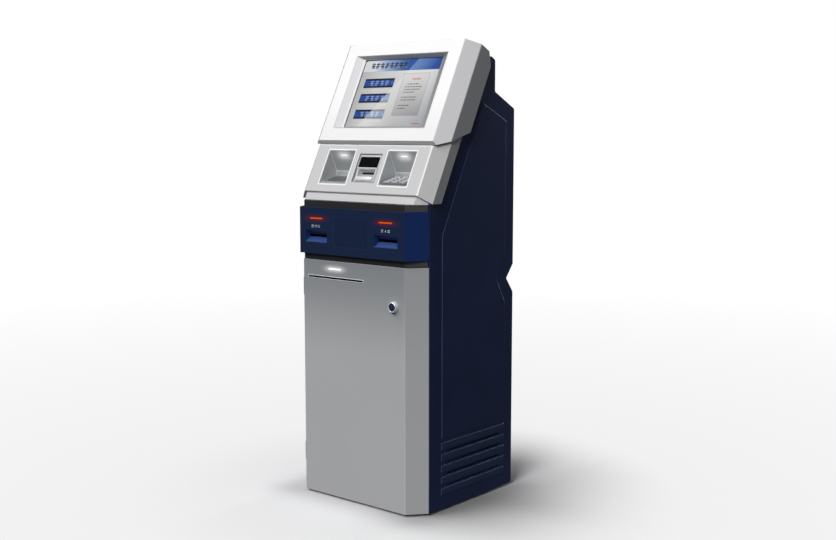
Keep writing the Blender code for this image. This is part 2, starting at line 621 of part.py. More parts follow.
roof_run = Vector((0, *roof_front)) - roof_rear
LAMP_ALONG_ROOF = 0.76      # lamp's place as a share of the roof's run from rear to front


def bay(side, sign):
    liner = side_prism("bay_liner_" + side, bay_outer, span(sign, BAY_X0 + GAP, BAY_X1 - GAP),
                       LINER)
    space = side_prism("bay_space_" + side, bay_inner,
                       span(sign, BAY_X0 + BAY_WALL, BAY_X1 - BAY_WALL))
    lamp_at = roof_rear + roof_run * LAMP_ALONG_ROOF + X_AXIS * (sign * BAY_X - 0.001)
    roof = frame(X_AXIS, roof_run.normalized(), lamp_at)
    cut(liner, space, box("lamp_pocket_" + side, (-0.0135, -0.0036, -0.0150),
                          (0.0135, 0.0036, 0.0150), place=roof))
    box("bay_lamp_" + side, (-0.0131, -0.0032, -0.0040), (0.0131, 0.0032, 0.0004), LAMP, roof)


for side, sign in SIDES:
    bay(side, sign)

# ---------------------------------------------------------------- card reader
reader = face_box("card_reader_bezel", CONSOLE_FACE, READER, (-0.0260, 0.0), GREY, (GAP, GAP))
cut(reader,
    face_box("reader_well", CONSOLE_FACE, READER, (-0.0100, 0.01), inset=(0.0030, 0.0030)),
    face_box("reader_back", CONSOLE_FACE, READER, (-0.03, 0.0), inset=(0.0080, 0.0060)))
READER_V0, READER_V1 = READER[2] + 0.0064, READER[3] - 0.0064
THROAT_HALF, THROAT_TOP_V, MOUTH_V = 0.0430, 0.0880, 0.0730
throat = face_box("card_reader_throat", CONSOLE_FACE,
                  (-THROAT_HALF, THROAT_HALF, READER_V0, THROAT_TOP_V), (-0.0850, -0.0040), CHROME)
cut(throat,
    funnel("throat_mouth", (0.0360, 0.0130), (0.0290, 0.0042), -0.0030, -0.0180,
           frame(X_AXIS, UPSLOPE, CONSOLE_EDGE + UPSLOPE * MOUTH_V), 0.0034),
    face_box("card_slit", CONSOLE_FACE, (-0.0280, 0.0280, 0.0728, 0.0800), (-0.0700, 0.0)))
face_box("card_reader_display", CONSOLE_FACE,
         (-THROAT_HALF, THROAT_HALF, THROAT_TOP_V + GAP, READER_V1), (-0.0300, -0.0040), WINDOW)

# ---------------------------------------------------------------- bay floors
# PIN pad in the right bay, scanner window in the left one
KEY_W, KEY_L, KEY_CLEAR = 0.0240, 0.0120, 0.0005
KEY_PITCH_X, KEY_PITCH_Y, KEY_ROW_Y = 0.0320, 0.0172, 0.0172    # KEY_ROW_Y: frontmost row
KEY_ROWS = (("1", "2", "3"), ("4", "5", "6"), ("7", "8", "9"), ("cancel", "0", "enter"))

floor_start = Vector((0, *floor_front))
floor_run = Vector((0, BAY_BACK, BAY_FLOOR_Z)) - floor_start
floor_len = floor_run.length


def bay_floor(sign):
    """Frame on the floor of a bay: x, back along the floor, up from it."""
    return frame(X_AXIS, floor_run.normalized(), floor_start + X_AXIS * (sign * BAY_X))


def key_box(name, x, y, grow, z0, z1, mat=None):
    half_w, half_l = KEY_W / 2 + grow, KEY_L / 2 + grow
    return box(name, (x - half_w, y - half_l, z0), (x + half_w, y + half_l, z1), mat,
               bay_floor(1))


pad = box("pin_pad_frame", (-0.0540, 0.0060, 0.0004), (0.0540, floor_len - 0.0060, 0.0074),
          STEEL, bay_floor(1))
for row, labels in enumerate(KEY_ROWS):
    for column, label in enumerate(labels):
        x = (column - 1) * KEY_PITCH_X
        y = KEY_ROW_Y + (len(KEY_ROWS) - 1 - row) * KEY_PITCH_Y
        cut(pad, key_box(f"pocket_{row}_{column}", x, y, KEY_CLEAR, 0.0024, 0.02))
        key_box("key_" + label, x, y, 0, 0.0046, 0.0100, KEY)

box("document_scanner_window", (-0.0480, 0.0090, 0.0004), (0.0480, floor_len - 0.0090, 0.0034),
    WINDOW, bay_floor(-1))

# ---------------------------------------------------------------- screen head
HEAD_WALL, UNDER_WALL = 0.0030, 0.0042
HEAD_V = (-0.06, 0.42)                  # raw length of the shell before it is trimmed
HEAD_REAR_V = 0.3190                    # where the sloping rear wall meets the back
RECESS = (-0.1975, 0.1975, 0.0447, 0.3143)      # (x0, x1, v0, v1)
SCREEN_WINDOW = (-0.1690, 0.1690, 0.0550, 0.3070)
SCREEN_DEPTH = 0.0170

head = slope_prism("head_shell", section(HEAD_HALF, 0, HEAD_SIDE, -HEAD_CHAMFER, -0.20),
                   HEAD_V, HEAD_EDGE, WHITE)
meet(head, side_prism("head_profile", [
    head_point(-0.02, 0.0), head_point(0.0, 0.0), head_point(UNDER_DEPTH, UNDER_V),
    head_point(HEAD_BACK, head_underside(HEAD_BACK)), head_point(HEAD_BACK, HEAD_REAR_V),
    head_point(0.0845, HEAD_LEN), head_point(-0.02, HEAD_LEN),
], WIDE))

hollow = slope_prism("head_hollow", inner_section(
    HEAD_HALF, HEAD_SIDE, HEAD_CHAMFER, HEAD_BACK, HEAD_WALL), HEAD_V, HEAD_EDGE)
past_back = HEAD_BACK + 0.02
meet(hollow, side_prism("head_hollow_profile", [
    head_point(-0.02, head_underside(-0.02) + UNDER_WALL + 0.010), head_point(0.0, 0.0045),
    head_point(UNDER_DEPTH, UNDER_V + UNDER_WALL),
    head_point(past_back, head_underside(past_back) + UNDER_WALL),
    head_point(past_back, 0.3165), head_point(HEAD_BACK - 0.002, 0.3165),
    head_point(0.0835, HEAD_LEN - HEAD_WALL), head_point(-0.02, HEAD_LEN - HEAD_WALL),
], WIDE))
through = side_prism("head_through", [
    head_point(0.030, 0.3458), head_point(0.030, head_underside(0.030) - 0.02),
    head_point(0.30, head_underside(0.30) - 0.02), head_point(0.30, 0.3458),
], (-THROUGH_HALF, THROUGH_HALF))
cut(head, hollow, through)
# the sloping rear wall carries on down between the side panels
join(head, side_prism("head_rear_wall", [
    head_point(0.0875, 0.35434), head_point(HEAD_BACK, HEAD_REAR_V),
    head_point(0.1112, 0.3177), head_point(0.0857, 0.35304),
], (-INNER_HALF + 0.0006, INNER_HALF - 0.0006)))
cut(head, face_box("screen_hole", HEAD_FACE, RECESS, HOLE_OUT))

# surround that slopes in to the screen
recess_v = (RECESS[2] + RECESS[3]) / 2
window_v = (SCREEN_WINDOW[2] + SCREEN_WINDOW[3]) / 2
surround = face_box("screen_surround", HEAD_FACE, RECESS, (-0.0200, -0.0002), WHITE,
                    (0.0005, 0.0005))
cut(surround,
    funnel("surround_funnel", (RECESS[1] - 0.0015, (RECESS[3] - RECESS[2]) / 2 - 0.0015),
           (SCREEN_WINDOW[1], (SCREEN_WINDOW[3] - SCREEN_WINDOW[2]) / 2), 0.0, -SCREEN_DEPTH,
           frame(X_AXIS, UPSLOPE, HEAD_EDGE + UPSLOPE * recess_v), window_v - recess_v),
    face_box("surround_window", HEAD_FACE, SCREEN_WINDOW, (-0.03, -SCREEN_DEPTH + 0.001)))
face_box("touch_screen", HEAD_FACE, (-0.1760, 0.1760, 0.0500, 0.3120), (-0.0244, -0.0204), SCREEN)
face_box("display_module", HEAD_FACE, (-0.1860, 0.1860, 0.0450, 0.3150), (-0.0560, -0.0248), STEEL)

# hinge rod at the head's rear top edge, fixed to the cabinet
HEAD_HINGE = HEAD_EDGE - OUTWARD * 0.1165 + UPSLOPE * 0.3515
rod("head_hinge_rod", 0.0030, -0.2500, 0.2500, STEEL, axis=X_AXIS, at=HEAD_HINGE, steps=16)

# ---------------------------------------------------------------- computer and cassette
INSIDE_Z = 0.0134           # just above the base tray
box("computer", (-0.2300, 0.1250, INSIDE_Z), (-0.1250, 0.4350, 0.3400), BLACK)
cassette = box("cash_cassette", (-0.1000, 0.1300, INSIDE_Z), (0.1500, 0.4700, 0.2000), STEEL)
join(cassette, box("cassette_grip", (-0.0400, 0.1050, 0.1500), (0.0900, 0.1320, 0.1620)))

# ---------------------------------------------------------------- statement printer
PRINTER_X = STATEMENT_AT[0]
ROLL_AT = (PRINTER_X, 0.2400, 0.7950)


def roll_rod(name, radius, half_len, steps, mat=None):
    return rod(name, radius, -half_len, half_len, mat, X_AXIS, ROLL_AT, steps)


printer = box("statement_printer", (PRINTER_X - 0.1300, 0.0660, 0.6594),
              (PRINTER_X + 0.1300, 0.3150, 0.7800), LINER)
cut(printer,
    front_box("printer_throat", STATEMENT_AT, (0.2300, 0.0060), 0.05, 0.1700),
    roll_rod("printer_roll_well", 0.0620, 0.1180, 32))
roll = roll_rod("paper_roll", 0.0550, 0.1100, 32, PAPER)
cut(roll, roll_rod("roll_core", 0.0125, 0.2, 20))

# ---------------------------------------------------------------- fan on the upper rear panel
FAN_X, FAN_Y, FAN_Z = 0.1000, 0.4840, 1.1300    # centre of the rotor's blades
FAN_FRONT = 0.4700
BLADES, BLADE_PITCH = 7, 0.6                    # number, and blade angle in radians


def fan_box(name, size, y1, mat=None):
    return front_box(name, (FAN_X, FAN_Z), size, FAN_FRONT, y1, mat)


def fan_rod(name, radius, y0, y1, steps, mat=None):
    return rod(name, radius, y0, y1, mat, Y_AXIS, (FAN_X, 0, FAN_Z), steps)


fan = fan_box("fan_frame", (0.1200, 0.1200), 0.4984, BLACK)
cut(fan, fan_rod("fan_bore", 0.0560, 0.40, 0.60, 32))
join(fan, fan_box("fan_spider_a", (0.1180, 0.0040), FAN_FRONT + 0.0020),
     fan_box("fan_spider_b", (0.0040, 0.1180), FAN_FRONT + 0.0020))
rotor = fan_rod("fan_rotor", 0.0180, 0.4730, 0.4950, 16, BLACK)
for i in range(BLADES):
    angle = 2 * math.pi * i / BLADES
    radial = Vector((math.cos(angle), 0, math.sin(angle)))
    chord = Y_AXIS * math.cos(BLADE_PITCH) + Y_AXIS.cross(radial) * math.sin(BLADE_PITCH)
    join(rotor, box(f"blade_{i}", (0.0160, -0.0105, -0.0007), (0.0535, 0.0105, 0.0007),
                    place=frame(radial, chord.normalized(), (FAN_X, FAN_Y, FAN_Z))))

# ---------------------------------------------------------------- joint axes, final shift
AXES = (                    # name, place, the pieces that move with it
    ("front_door", (HINGE_X, HINGE_Y, 0.39),
     ("front_door", "statement_slot_bezel", "door_lamp_lens", "lock_housing")),
    ("lock", (LOCK_X, 0, LOCK_Z), ("lock_plug", "lock_cam")),
    ("head", HEAD_HINGE, ("head_shell", "screen_surround", "touch_screen", "display_module")),
    ("paper_roll", ROLL_AT, ("paper_roll",)),
    ("fan", (FAN_X, FAN_Y, FAN_Z), ("fan_rotor",)),
    ("cassette", (0.025, 0.30, 0.14), ("cash_cassette",)),
)
for name, place, children in AXES:
    axis = bpy.data.objects.new("axis_" + name, None)
    axis.location = place
    axis.hide_render = True
    bpy.context.scene.collection.objects.link(axis)
    bpy.context.view_layer.update()
    for child_name in children:
        child = bpy.data.objects[child_name]
        world = child.matrix_world.copy()
        child.parent = axis
        child.matrix_parent_inverse = axis.matrix_world.inverted()
        child.matrix_world = world

for obj in bpy.data.objects:
    if obj.parent is None:
        obj.location.y -= Y_CENTRE
bpy.context.view_layer.update()
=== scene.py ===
"""A free-standing terminal: a blue and white cabinet with a tilted screen head, a sloping console
with keypad, card reader and scanner, a band with two slots, and a lockable front door.

Metres. +Z is up and the feet stand at z = 0. The front faces -Y, and +X is to the right as seen
from the front. Depths are given from the plane of the front door, MID_DEPTH in front of y = 0.
"""
import json
import math

import bmesh
import bpy
from mathutils import Matrix, Vector


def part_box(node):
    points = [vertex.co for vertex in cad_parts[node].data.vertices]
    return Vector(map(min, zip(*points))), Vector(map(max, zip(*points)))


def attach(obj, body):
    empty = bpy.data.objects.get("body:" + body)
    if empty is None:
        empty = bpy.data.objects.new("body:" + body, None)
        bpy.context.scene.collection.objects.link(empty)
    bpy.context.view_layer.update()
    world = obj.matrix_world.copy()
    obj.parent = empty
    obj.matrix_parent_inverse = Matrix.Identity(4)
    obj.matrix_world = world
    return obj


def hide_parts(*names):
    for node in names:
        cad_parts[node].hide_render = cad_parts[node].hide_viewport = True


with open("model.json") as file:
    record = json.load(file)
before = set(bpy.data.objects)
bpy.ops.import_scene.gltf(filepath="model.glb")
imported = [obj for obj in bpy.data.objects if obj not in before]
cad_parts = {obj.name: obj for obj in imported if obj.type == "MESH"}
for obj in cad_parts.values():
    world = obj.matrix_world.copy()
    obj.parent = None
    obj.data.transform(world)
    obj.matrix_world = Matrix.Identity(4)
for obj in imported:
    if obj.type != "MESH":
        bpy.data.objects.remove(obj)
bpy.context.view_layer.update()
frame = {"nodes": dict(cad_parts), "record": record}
NODES = frame["nodes"]
BODIES = frame["record"]["behaviour"]["bodies"]
BODY_OF = {node: body for body, nodes in BODIES.items() for node in nodes}
SCENE = bpy.context.scene
SIDES = {"left": -1, "right": 1}

# ------------------------------------------------------------------ directions and datums
MID_DEPTH = 0.245
TILT = math.radians(26.66)  # lean of the head and console faces from vertical
X_AXIS, Y_AXIS, Z_AXIS = Vector((1, 0, 0)), Vector((0, 1, 0)), Vector((0, 0, 1))
FRONTWARD = -Y_AXIS
SLOPE = Vector((0, math.sin(TILT), math.cos(TILT)))  # up along the tilted faces
SLOPE_OUT = Vector((0, -math.cos(TILT), math.sin(TILT)))  # out of the tilted faces
HEAD_ORIGIN = Vector((0, 0.1011 - MID_DEPTH, 1.1796))
CONSOLE_ORIGIN = Vector((0, 0.0298 - MID_DEPTH, 1.0132))


def plane(across, up, origin):
    """Matrix of a drawing plane: outlines lie on across and up, heights run along their cross."""
    matrix = Matrix((across, up, across.cross(up))).transposed().to_4x4()
    matrix.translation = origin
    return matrix


def front_plane(y, x=0.0, z=0.0):
    """An upright drawing plane through (x, y, z) that faces the front."""
    return plane(X_AXIS, Z_AXIS, Vector((x, y, z)))


def middle(node):
    lo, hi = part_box(node)
    return tuple((lo + hi) / 2)


FRONT = front_plane(-MID_DEPTH)
BAND_Y = -0.011 - MID_DEPTH
BAND = front_plane(BAND_Y)
CONSOLE = plane(X_AXIS, SLOPE, CONSOLE_ORIGIN)

# lamps
DOOR_LAMP = (-0.0790, -MID_DEPTH, 0.7655)
AMBER_LAMPS = {side: (sign * 0.150, BAND_Y, 0.9280) for side, sign in SIDES.items()}

# screen glass, and the drawing plane of its picture, centred on the glass
GLASS_W, GLASS_H = 0.338, 0.252
GLASS_TOP = 0.3070  # along the slope from HEAD_ORIGIN
GLASS_DEPTH = 0.0204  # below the head's face
PICTURE = plane(X_AXIS, SLOPE,
                HEAD_ORIGIN + SLOPE * (GLASS_TOP - GLASS_H / 2) - SLOPE_OUT * 0.02045)

# the keypad and the scanner lie in the two bays, on a floor flatter than the console face
BAY_X = 0.1305
BAY_FRONT = CONSOLE_ORIGIN + SLOPE * 0.030
BAY_UP = (Vector((0, 0.1270 - MID_DEPTH, 1.0600)) - BAY_FRONT).normalized()
SCANNER = plane(X_AXIS, BAY_UP, BAY_FRONT - X_AXIS * BAY_X)
KEYPAD = plane(X_AXIS, BAY_UP, BAY_FRONT + X_AXIS * BAY_X)

# ------------------------------------------------------------------ material nodes
MATERIALS = {}


class Net:
    """A new material's node tree; the material is filed in MATERIALS under its name."""

    def __init__(self, name):
        material = bpy.data.materials.new(name)
        MATERIALS[name] = material
        material.use_nodes = True
        self.tree = material.node_tree
        self.bsdf = self.tree.nodes["Principled BSDF"]
        self.out = self.tree.nodes["Material Output"]
        self.coords = self.node("ShaderNodeTexCoord").outputs["Object"]

    def node(self, kind, **settings):
        node = self.tree.nodes.new(kind)
        for key, value in settings.items():
            setattr(node, key, value)
        return node

    def feed(self, socket, value):
        """Links an output to socket, or sets socket to a plain value."""
        if isinstance(value, bpy.types.NodeSocket):
            self.tree.links.new(value, socket)
        elif socket.type == "RGBA":
            socket.default_value = (*value, 1)
        else:
            socket.default_value = value

    def surface(self, values):
        for key, value in values.items():
            self.feed(self.bsdf.inputs[key], value)

    def noise(self, scale, detail=2.0, rough=0.5, stretch=None):
        node = self.node("ShaderNodeTexNoise")
        node.inputs["Scale"].default_value = scale
        node.inputs["Detail"].default_value = detail
        node.inputs["Roughness"].default_value = rough
        source = self.coords
        if stretch:
            mapping = self.node("ShaderNodeMapping")
            mapping.inputs["Scale"].default_value = stretch
            self.feed(mapping.inputs["Vector"], source)
            source = mapping.outputs[0]
        self.feed(node.inputs["Vector"], source)
        return node.outputs["Fac"]

    def calc(self, operation, a, b):
        node = self.node("ShaderNodeMath", operation=operation)
        self.feed(node.inputs[0], a)
        self.feed(node.inputs[1], b)
        return node.outputs[0]

    def times(self, a, b):
        return self.calc("MULTIPLY", a, b)

    def vector(self, operation, a, b=None):
        node = self.node("ShaderNodeVectorMath", operation=operation)
        self.feed(node.inputs[0], a)
        if b is not None:
            self.feed(node.inputs[1], b)
        return node.outputs["Value" if operation == "LENGTH" else "Vector"]

    def span(self, value, source, target=(0.0, 1.0), smooth=False):
        """Maps the range source to the range target, clamped."""
        node = self.node("ShaderNodeMapRange")
        node.interpolation_type = "SMOOTHSTEP" if smooth else "LINEAR"
        node.clamp = True
        self.feed(node.inputs["Value"], value)
        for key, limit in zip(("From Min", "From Max", "To Min", "To Max"), (*source, *target)):
            node.inputs[key].default_value = limit
        return node.outputs["Result"]

    def mix(self, factor, a, b, blend="MIX"):
        node = self.node("ShaderNodeMix", data_type="RGBA", blend_type=blend)
        self.feed(node.inputs["Factor"], factor)
        for key, value in (("A", a), ("B", b)):
            socket = [s for s in node.inputs if s.name == key and s.type == "RGBA"][0]
            self.feed(socket, value)
        return [s for s in node.outputs if s.type == "RGBA"][0]

    def combine(self, channels):
        node = self.node("ShaderNodeCombineColor")
        for socket, value in zip(node.inputs, channels):
            self.feed(socket, value)
        return node.outputs[0]

    def ramp(self, value, stops):
        """Colour ramp; a stop is (place, grey level or rgb)."""
        node = self.node("ShaderNodeValToRGB")
        elements = node.color_ramp.elements
        while len(elements) < len(stops):
            elements.new(0.5)
        for element, (place, tone) in zip(elements, stops):
            element.position = place
            element.color = (*tone, 1) if isinstance(tone, tuple) else (tone, tone, tone, 1)
        self.feed(node.inputs[0], value)
        return node.outputs["Color"]

    def bump(self, height, strength, distance):
        node = self.node("ShaderNodeBump")
        node.inputs["Strength"].default_value = strength
        node.inputs["Distance"].default_value = distance
        self.feed(node.inputs["Height"], height)
        self.feed(self.bsdf.inputs["Normal"], node.outputs[0])

    def xyz(self):
        node = self.node("ShaderNodeSeparateXYZ")
        self.feed(node.inputs[0], self.coords)
        return node.outputs

    def spot(self, centre, half, fade):
        """exp(-(d / fade)^2), d the distance to a box round centre; one fade or one per axis."""
        fades = fade if isinstance(fade, tuple) else (fade, fade, fade)
        away = self.vector("ABSOLUTE", self.vector("SUBTRACT", self.coords, centre))
        outside = self.vector("MAXIMUM", self.vector("SUBTRACT", away, half), (0, 0, 0))
        scaled = self.vector("MULTIPLY", outside, tuple(1 / value for value in fades))
        distance = self.vector("LENGTH", scaled)
        return self.calc("POWER", math.e, self.times(self.times(distance, distance), -1.0))

    def emission(self, rgb, strength=1.0):
        node = self.node("ShaderNodeEmission")
        self.feed(node.inputs["Color"], rgb)
        self.feed(node.inputs["Strength"], strength)
        return node.outputs[0]

    def mix_shader(self, factor, a, b):
        node = self.node("ShaderNodeMixShader")
        for socket, value in zip(node.inputs, (factor, a, b)):
            self.feed(socket, value)
        return node.outputs[0]


def shade(rgb, factor, lift=0.0):
    return tuple(min(1.0, c * factor + lift) for c in rgb)


def paint(name, rgb, *, rough, grain, peel, drift=0.05, spec=0.5, metal=0.0, grain_scale=1400.0,
          painted_light=None, rub=0.0, edge_on_shade=None, glow=None, lamp_light_tint=None):
    """Sprayed paint: slow colour drift, fine grain, orange peel and uneven roughness.

    The light ramp (axis, start, end, rgb) paints light and shade: the colour turns to rgb between
    start and end.
    rub lightens patches, the edge-on range is the facing range over which painted shade darkens
    the paint, glow paints lamp light on places of the paint and the lamp tint is the colour that
    painted lamp light gives the paint there.
    """
    net = Net(name)
    fine = net.noise(grain_scale, detail=1.5, rough=0.6)
    colour = net.mix(net.span(net.noise(4.0, detail=3.0), (0.3, 0.7)),
                     shade(rgb, 1 - drift), shade(rgb, 1 + drift))
    # painted light and shade: the colour ramps to another along one axis
    if painted_light:
        axis, start, end, other = painted_light
        colour = net.mix(net.span(net.xyz()[axis], (start, end), smooth=True), colour, other)
    speckle = net.span(fine, (0.2, 0.8), (1 - grain * 2, 1 + grain * 2))
    colour = net.mix(1.0, colour, net.combine([speckle] * 3), blend="MULTIPLY")
    if rub:
        patch = net.span(net.noise(9.0, detail=5.0, rough=0.7), (0.62, 0.78), (0.0, rub))
        colour = net.mix(patch, colour, shade(rgb, 1.25, lift=0.02))
    # painted shade: the paint darkens as its faces turn edge-on to the view
    if edge_on_shade:
        weight = net.node("ShaderNodeLayerWeight")
        weight.inputs["Blend"].default_value = 0.5
        facing = net.span(weight.outputs["Facing"], edge_on_shade)
        colour = net.mix(facing, colour, shade(rgb, 0.20))
    # painted lamp light: the paint takes the lamps' tint round each lamp
    if lamp_light_tint:
        for centre in glow["centres"]:
            colour = net.mix(net.spot(centre, glow["half"], glow["fade"]), colour, lamp_light_tint)
    uneven = net.noise(55.0, detail=4.0, rough=0.55)
    net.surface({"Base Color": colour, "Metallic": metal, "Specular IOR Level": spec,
                 "Coat Roughness": 0.2,
                 "Roughness": net.span(uneven, (0.25, 0.75), (rough - 0.05, rough + 0.06))})
    net.bump(net.calc("ADD", net.noise(320.0), net.times(fine, 0.6)),
             strength=peel, distance=0.00012)
    if glow:
        total = None
        for centre in glow["centres"]:
            light = net.times(net.spot(centre, glow["half"], glow["fade"]), glow["strength"])
            total = light if total is None else net.calc("ADD", total, light)
        net.surface({"Emission Color": glow["rgb"], "Emission Strength": total})


def zinc_plate(name, rgb, rough, streak):
    """Plated sheet with fine lines drawn out along Z and faint stains."""
    net = Net(name)
    lines = net.noise(900.0, detail=3.0, rough=0.6, stretch=(1, 1, 0.08))
    colour = net.mix(net.span(lines, (0.3, 0.7)),
                     shade(rgb, 1 - streak), shade(rgb, 1 + streak * 0.5))
    stains = net.span(net.noise(30.0, detail=4.0), (0.55, 0.75), (0.0, 0.25))
    net.surface({"Base Color": net.mix(stains, colour, shade(rgb, 0.8)), "Metallic": 1.0,
                 "Roughness": net.span(lines, (0.25, 0.75), (rough - 0.06, rough + 0.10))})
    net.bump(lines, strength=0.15, distance=0.00006)


def plastic(name, rgb, rough=0.5, texture=700.0, bump=0.2, spec=0.5, drift=0.06):
    """Moulded plastic: spark-eroded texture and a slow change of tone."""
    net = Net(name)
    cells = net.noise(texture, detail=3.0, rough=0.6)
    cloud = net.span(net.noise(12.0, detail=3.0), (0.3, 0.7))
    net.surface({"Base Color": net.mix(cloud, shade(rgb, 1 - drift), shade(rgb, 1 + drift)),
                 "Roughness": net.span(cells, (0.3, 0.7), (rough - 0.06, rough + 0.06)),
                 "Specular IOR Level": spec})
    net.bump(cells, strength=bump, distance=0.00010)


def lit(name, rgb, strength, core, centre, half, fade, spec=0.5):
    """A lens lit from behind, grained, with a hot middle of colour core."""
    net = Net(name)
    dots = net.noise(420.0, detail=1.0)
    light = net.span(dots, (0.3, 0.7), (strength * 0.85, strength * 1.1))
    hot = net.spot(centre, half, fade)
    net.surface({"Base Color": shade(rgb, 0.35), "Specular IOR Level": spec,
                 "Emission Color": net.mix(hot, rgb, core),
                 "Emission Strength": net.times(light, net.span(hot, (0, 1), (0.30, 1.0))),
                 "Roughness": net.span(net.noise(90.0), (0.3, 0.7), (0.20, 0.30))})
    net.bump(dots, strength=0.05, distance=0.0001)


# ------------------------------------------------------------------ paints
# light thrown by the lamps on the paint round them
DOOR_GLOW = dict(centres=[DOOR_LAMP], half=(0.014, 0.01, 0.0005), fade=(0.0260, 0.02, 0.0085),
                 rgb=(1, 0.98, 0.95), strength=0.46)
BAND_GLOW = dict(centres=list(AMBER_LAMPS.values()), half=(0.008, 0.01, 0.0005),
                 fade=(0.0300, 0.02, 0.0075), rgb=(0.95, 0.010, 0.012), strength=0.13)
BAY_GLOW = dict(centres=[middle("bay_lamp_" + side) for side in SIDES],
                half=(0.008, 0.0010, 0.0010), fade=(0.0190, 0.0130, 0.0130),
                rgb=(1, 1, 1), strength=0.42)

# finishes shared by several paints
SHELL = dict(rough=0.48, grain=0.030, grain_scale=900.0, peel=0.16, spec=0.25)
NAVY = dict(rough=0.44, grain=0.05, peel=0.14, drift=0.10, spec=0.30, rub=0.03)
BAND_COAT = dict(rough=0.36, grain=0.04, peel=0.10, spec=0.3)
PLATE_COAT = dict(rough=0.32, grain=0.04, peel=0.08, spec=0.3)
TRAY = dict(rough=0.40, grain=0.04, peel=0.08, spec=0.3)
DOOR = dict(rough=0.44, grain=0.040, grain_scale=1100.0, peel=0.14, drift=0.012, spec=0.25)
BLACK = dict(rough=0.45, grain=0.05, peel=0.14, drift=0.08, spec=0.3)
LINER = dict(rough=0.46, grain=0.03, peel=0.12, drift=0.03, spec=0.25)

# head and console: one white paint, with copies of painted shade and painted light by the way
# their faces turn
# painted light: the head's white turns lighter towards its top
paint("white_paint_grained", (0.83, 0.83, 0.835), drift=0.010,
      painted_light=("Z", 1.20, 1.34, (0.90, 0.90, 0.903)), **(SHELL | dict(grain=0.024)))
# painted shade: copies of the white for faces turned sideways, to the left (darkening further
# edge-on) and folded
paint("white_paint_side", (0.43, 0.44, 0.455), drift=0.015, **SHELL)
paint("white_paint_left", (0.43, 0.44, 0.455), drift=0.015, edge_on_shade=(0.54, 0.76),
      **(SHELL | dict(spec=0.12)))
paint("white_paint_fold", (0.69, 0.69, 0.70), drift=0.012, **SHELL)
# walls of the screen recess: painted light on the left wall, lighter across a narrow strip, and
# painted shade on the others, the right one darker towards its top
paint("recess_paint_left", (0.77, 0.77, 0.78), drift=0.012,
      painted_light=("X", -0.1758, -0.1738, (0.93, 0.93, 0.94)), **SHELL)
paint("recess_paint_bottom", (0.24, 0.245, 0.25), drift=0.012, **(SHELL | dict(spec=0.2)))
paint("recess_paint_top", (0.45, 0.46, 0.47), drift=0.012, **SHELL)
paint("recess_paint_right", (0.30, 0.305, 0.312), drift=0.012,
      painted_light=("Z", 1.20, 1.42, (0.25, 0.255, 0.262)), **SHELL)
# painted shade: copy of the white for faces turned down
paint("white_paint_underside", (0.42, 0.42, 0.43), drift=0.015, **SHELL)
# painted shade: the console's white is a darker copy of the head's; painted highlight on its
# rounded edges
paint("console_paint_grained", (0.56, 0.56, 0.565), drift=0.015, **SHELL)
paint("console_paint_edge", (0.84, 0.84, 0.85), rough=0.42, grain=0.020, grain_scale=900.0,
      peel=0.08, drift=0.01, spec=0.3)

# navy panels and the slot band
paint("navy_paint_fine", (0.0130, 0.0270, 0.0950), **NAVY)
# painted light: a lighter copy of the navy for the slanted flanks, also used for the lock's keyway
# lip
paint("navy_paint_edge", (0.052, 0.078, 0.175), rough=0.40, grain=0.04, peel=0.10, drift=0.06,
      spec=0.30)
paint("navy_paint_raised", (0.0200, 0.0400, 0.1060), **NAVY)
paint("blue_edge_paint", (0.006, 0.030, 0.160), rough=0.35, grain=0.04, peel=0.08)
# painted lamp light: the amber lamps' glow and its tint round them
paint("band_blue_satin", (0.0070, 0.0170, 0.0520), glow=BAND_GLOW,
      lamp_light_tint=(0.0070, 0.0025, 0.0250), **BAND_COAT)
# painted light: lighter copy of the band's blue for faces turned sideways
paint("band_blue_fold", (0.0080, 0.0310, 0.1400), **BAND_COAT)
paint("band_plate_blue", (0.0070, 0.0165, 0.0500), **PLATE_COAT)
# painted highlight: lighter blue for the line round the centre plate
paint("band_outline_painted_highlight", (0.0150, 0.0400, 0.1250), **PLATE_COAT)
# painted light: lighter copies of the band's blue for tray faces turned down and right
paint("band_blue_underside", (0.0240, 0.0560, 0.1750), **TRAY)
paint("band_blue_cheek", (0.0200, 0.0640, 0.2700), **TRAY)
paint("slot_tray_blue", (0.0240, 0.0600, 0.2050), rough=0.40, grain=0.03, peel=0.08)

# door: painted shadow of the band darkens its paints towards the top, the folded faces are a copy
# with painted light and the rounded edges a painted highlight
# painted shadow towards the top, and painted lamp light round the door lamp
paint("door_grey_satin", (0.415, 0.418, 0.425), glow=DOOR_GLOW, rub=0.02,
      painted_light=("Z", 0.46, 0.80, (0.236, 0.250, 0.262)), **DOOR)
paint("door_grey_fold", (0.52, 0.525, 0.535), painted_light=("Z", 0.40, 0.80, (0.44, 0.455, 0.47)), **DOOR)
paint("door_grey_edge", (0.485, 0.49, 0.50), painted_light=("Z", 0.46, 0.80, (0.33, 0.345, 0.36)),
      **(DOOR | dict(grain=0.030, peel=0.08, spec=0.2)))
paint("statement_bezel_silver", (0.80, 0.80, 0.81), rough=0.30, metal=0.10, grain=0.03,
      peel=0.05, drift=0.03, spec=0.4)
paint("black_paint_satin", (0.020, 0.020, 0.021), **BLACK)
# painted light: a lighter copy of the black for the folded faces
paint("black_paint_fold", (0.070, 0.071, 0.075), **BLACK)

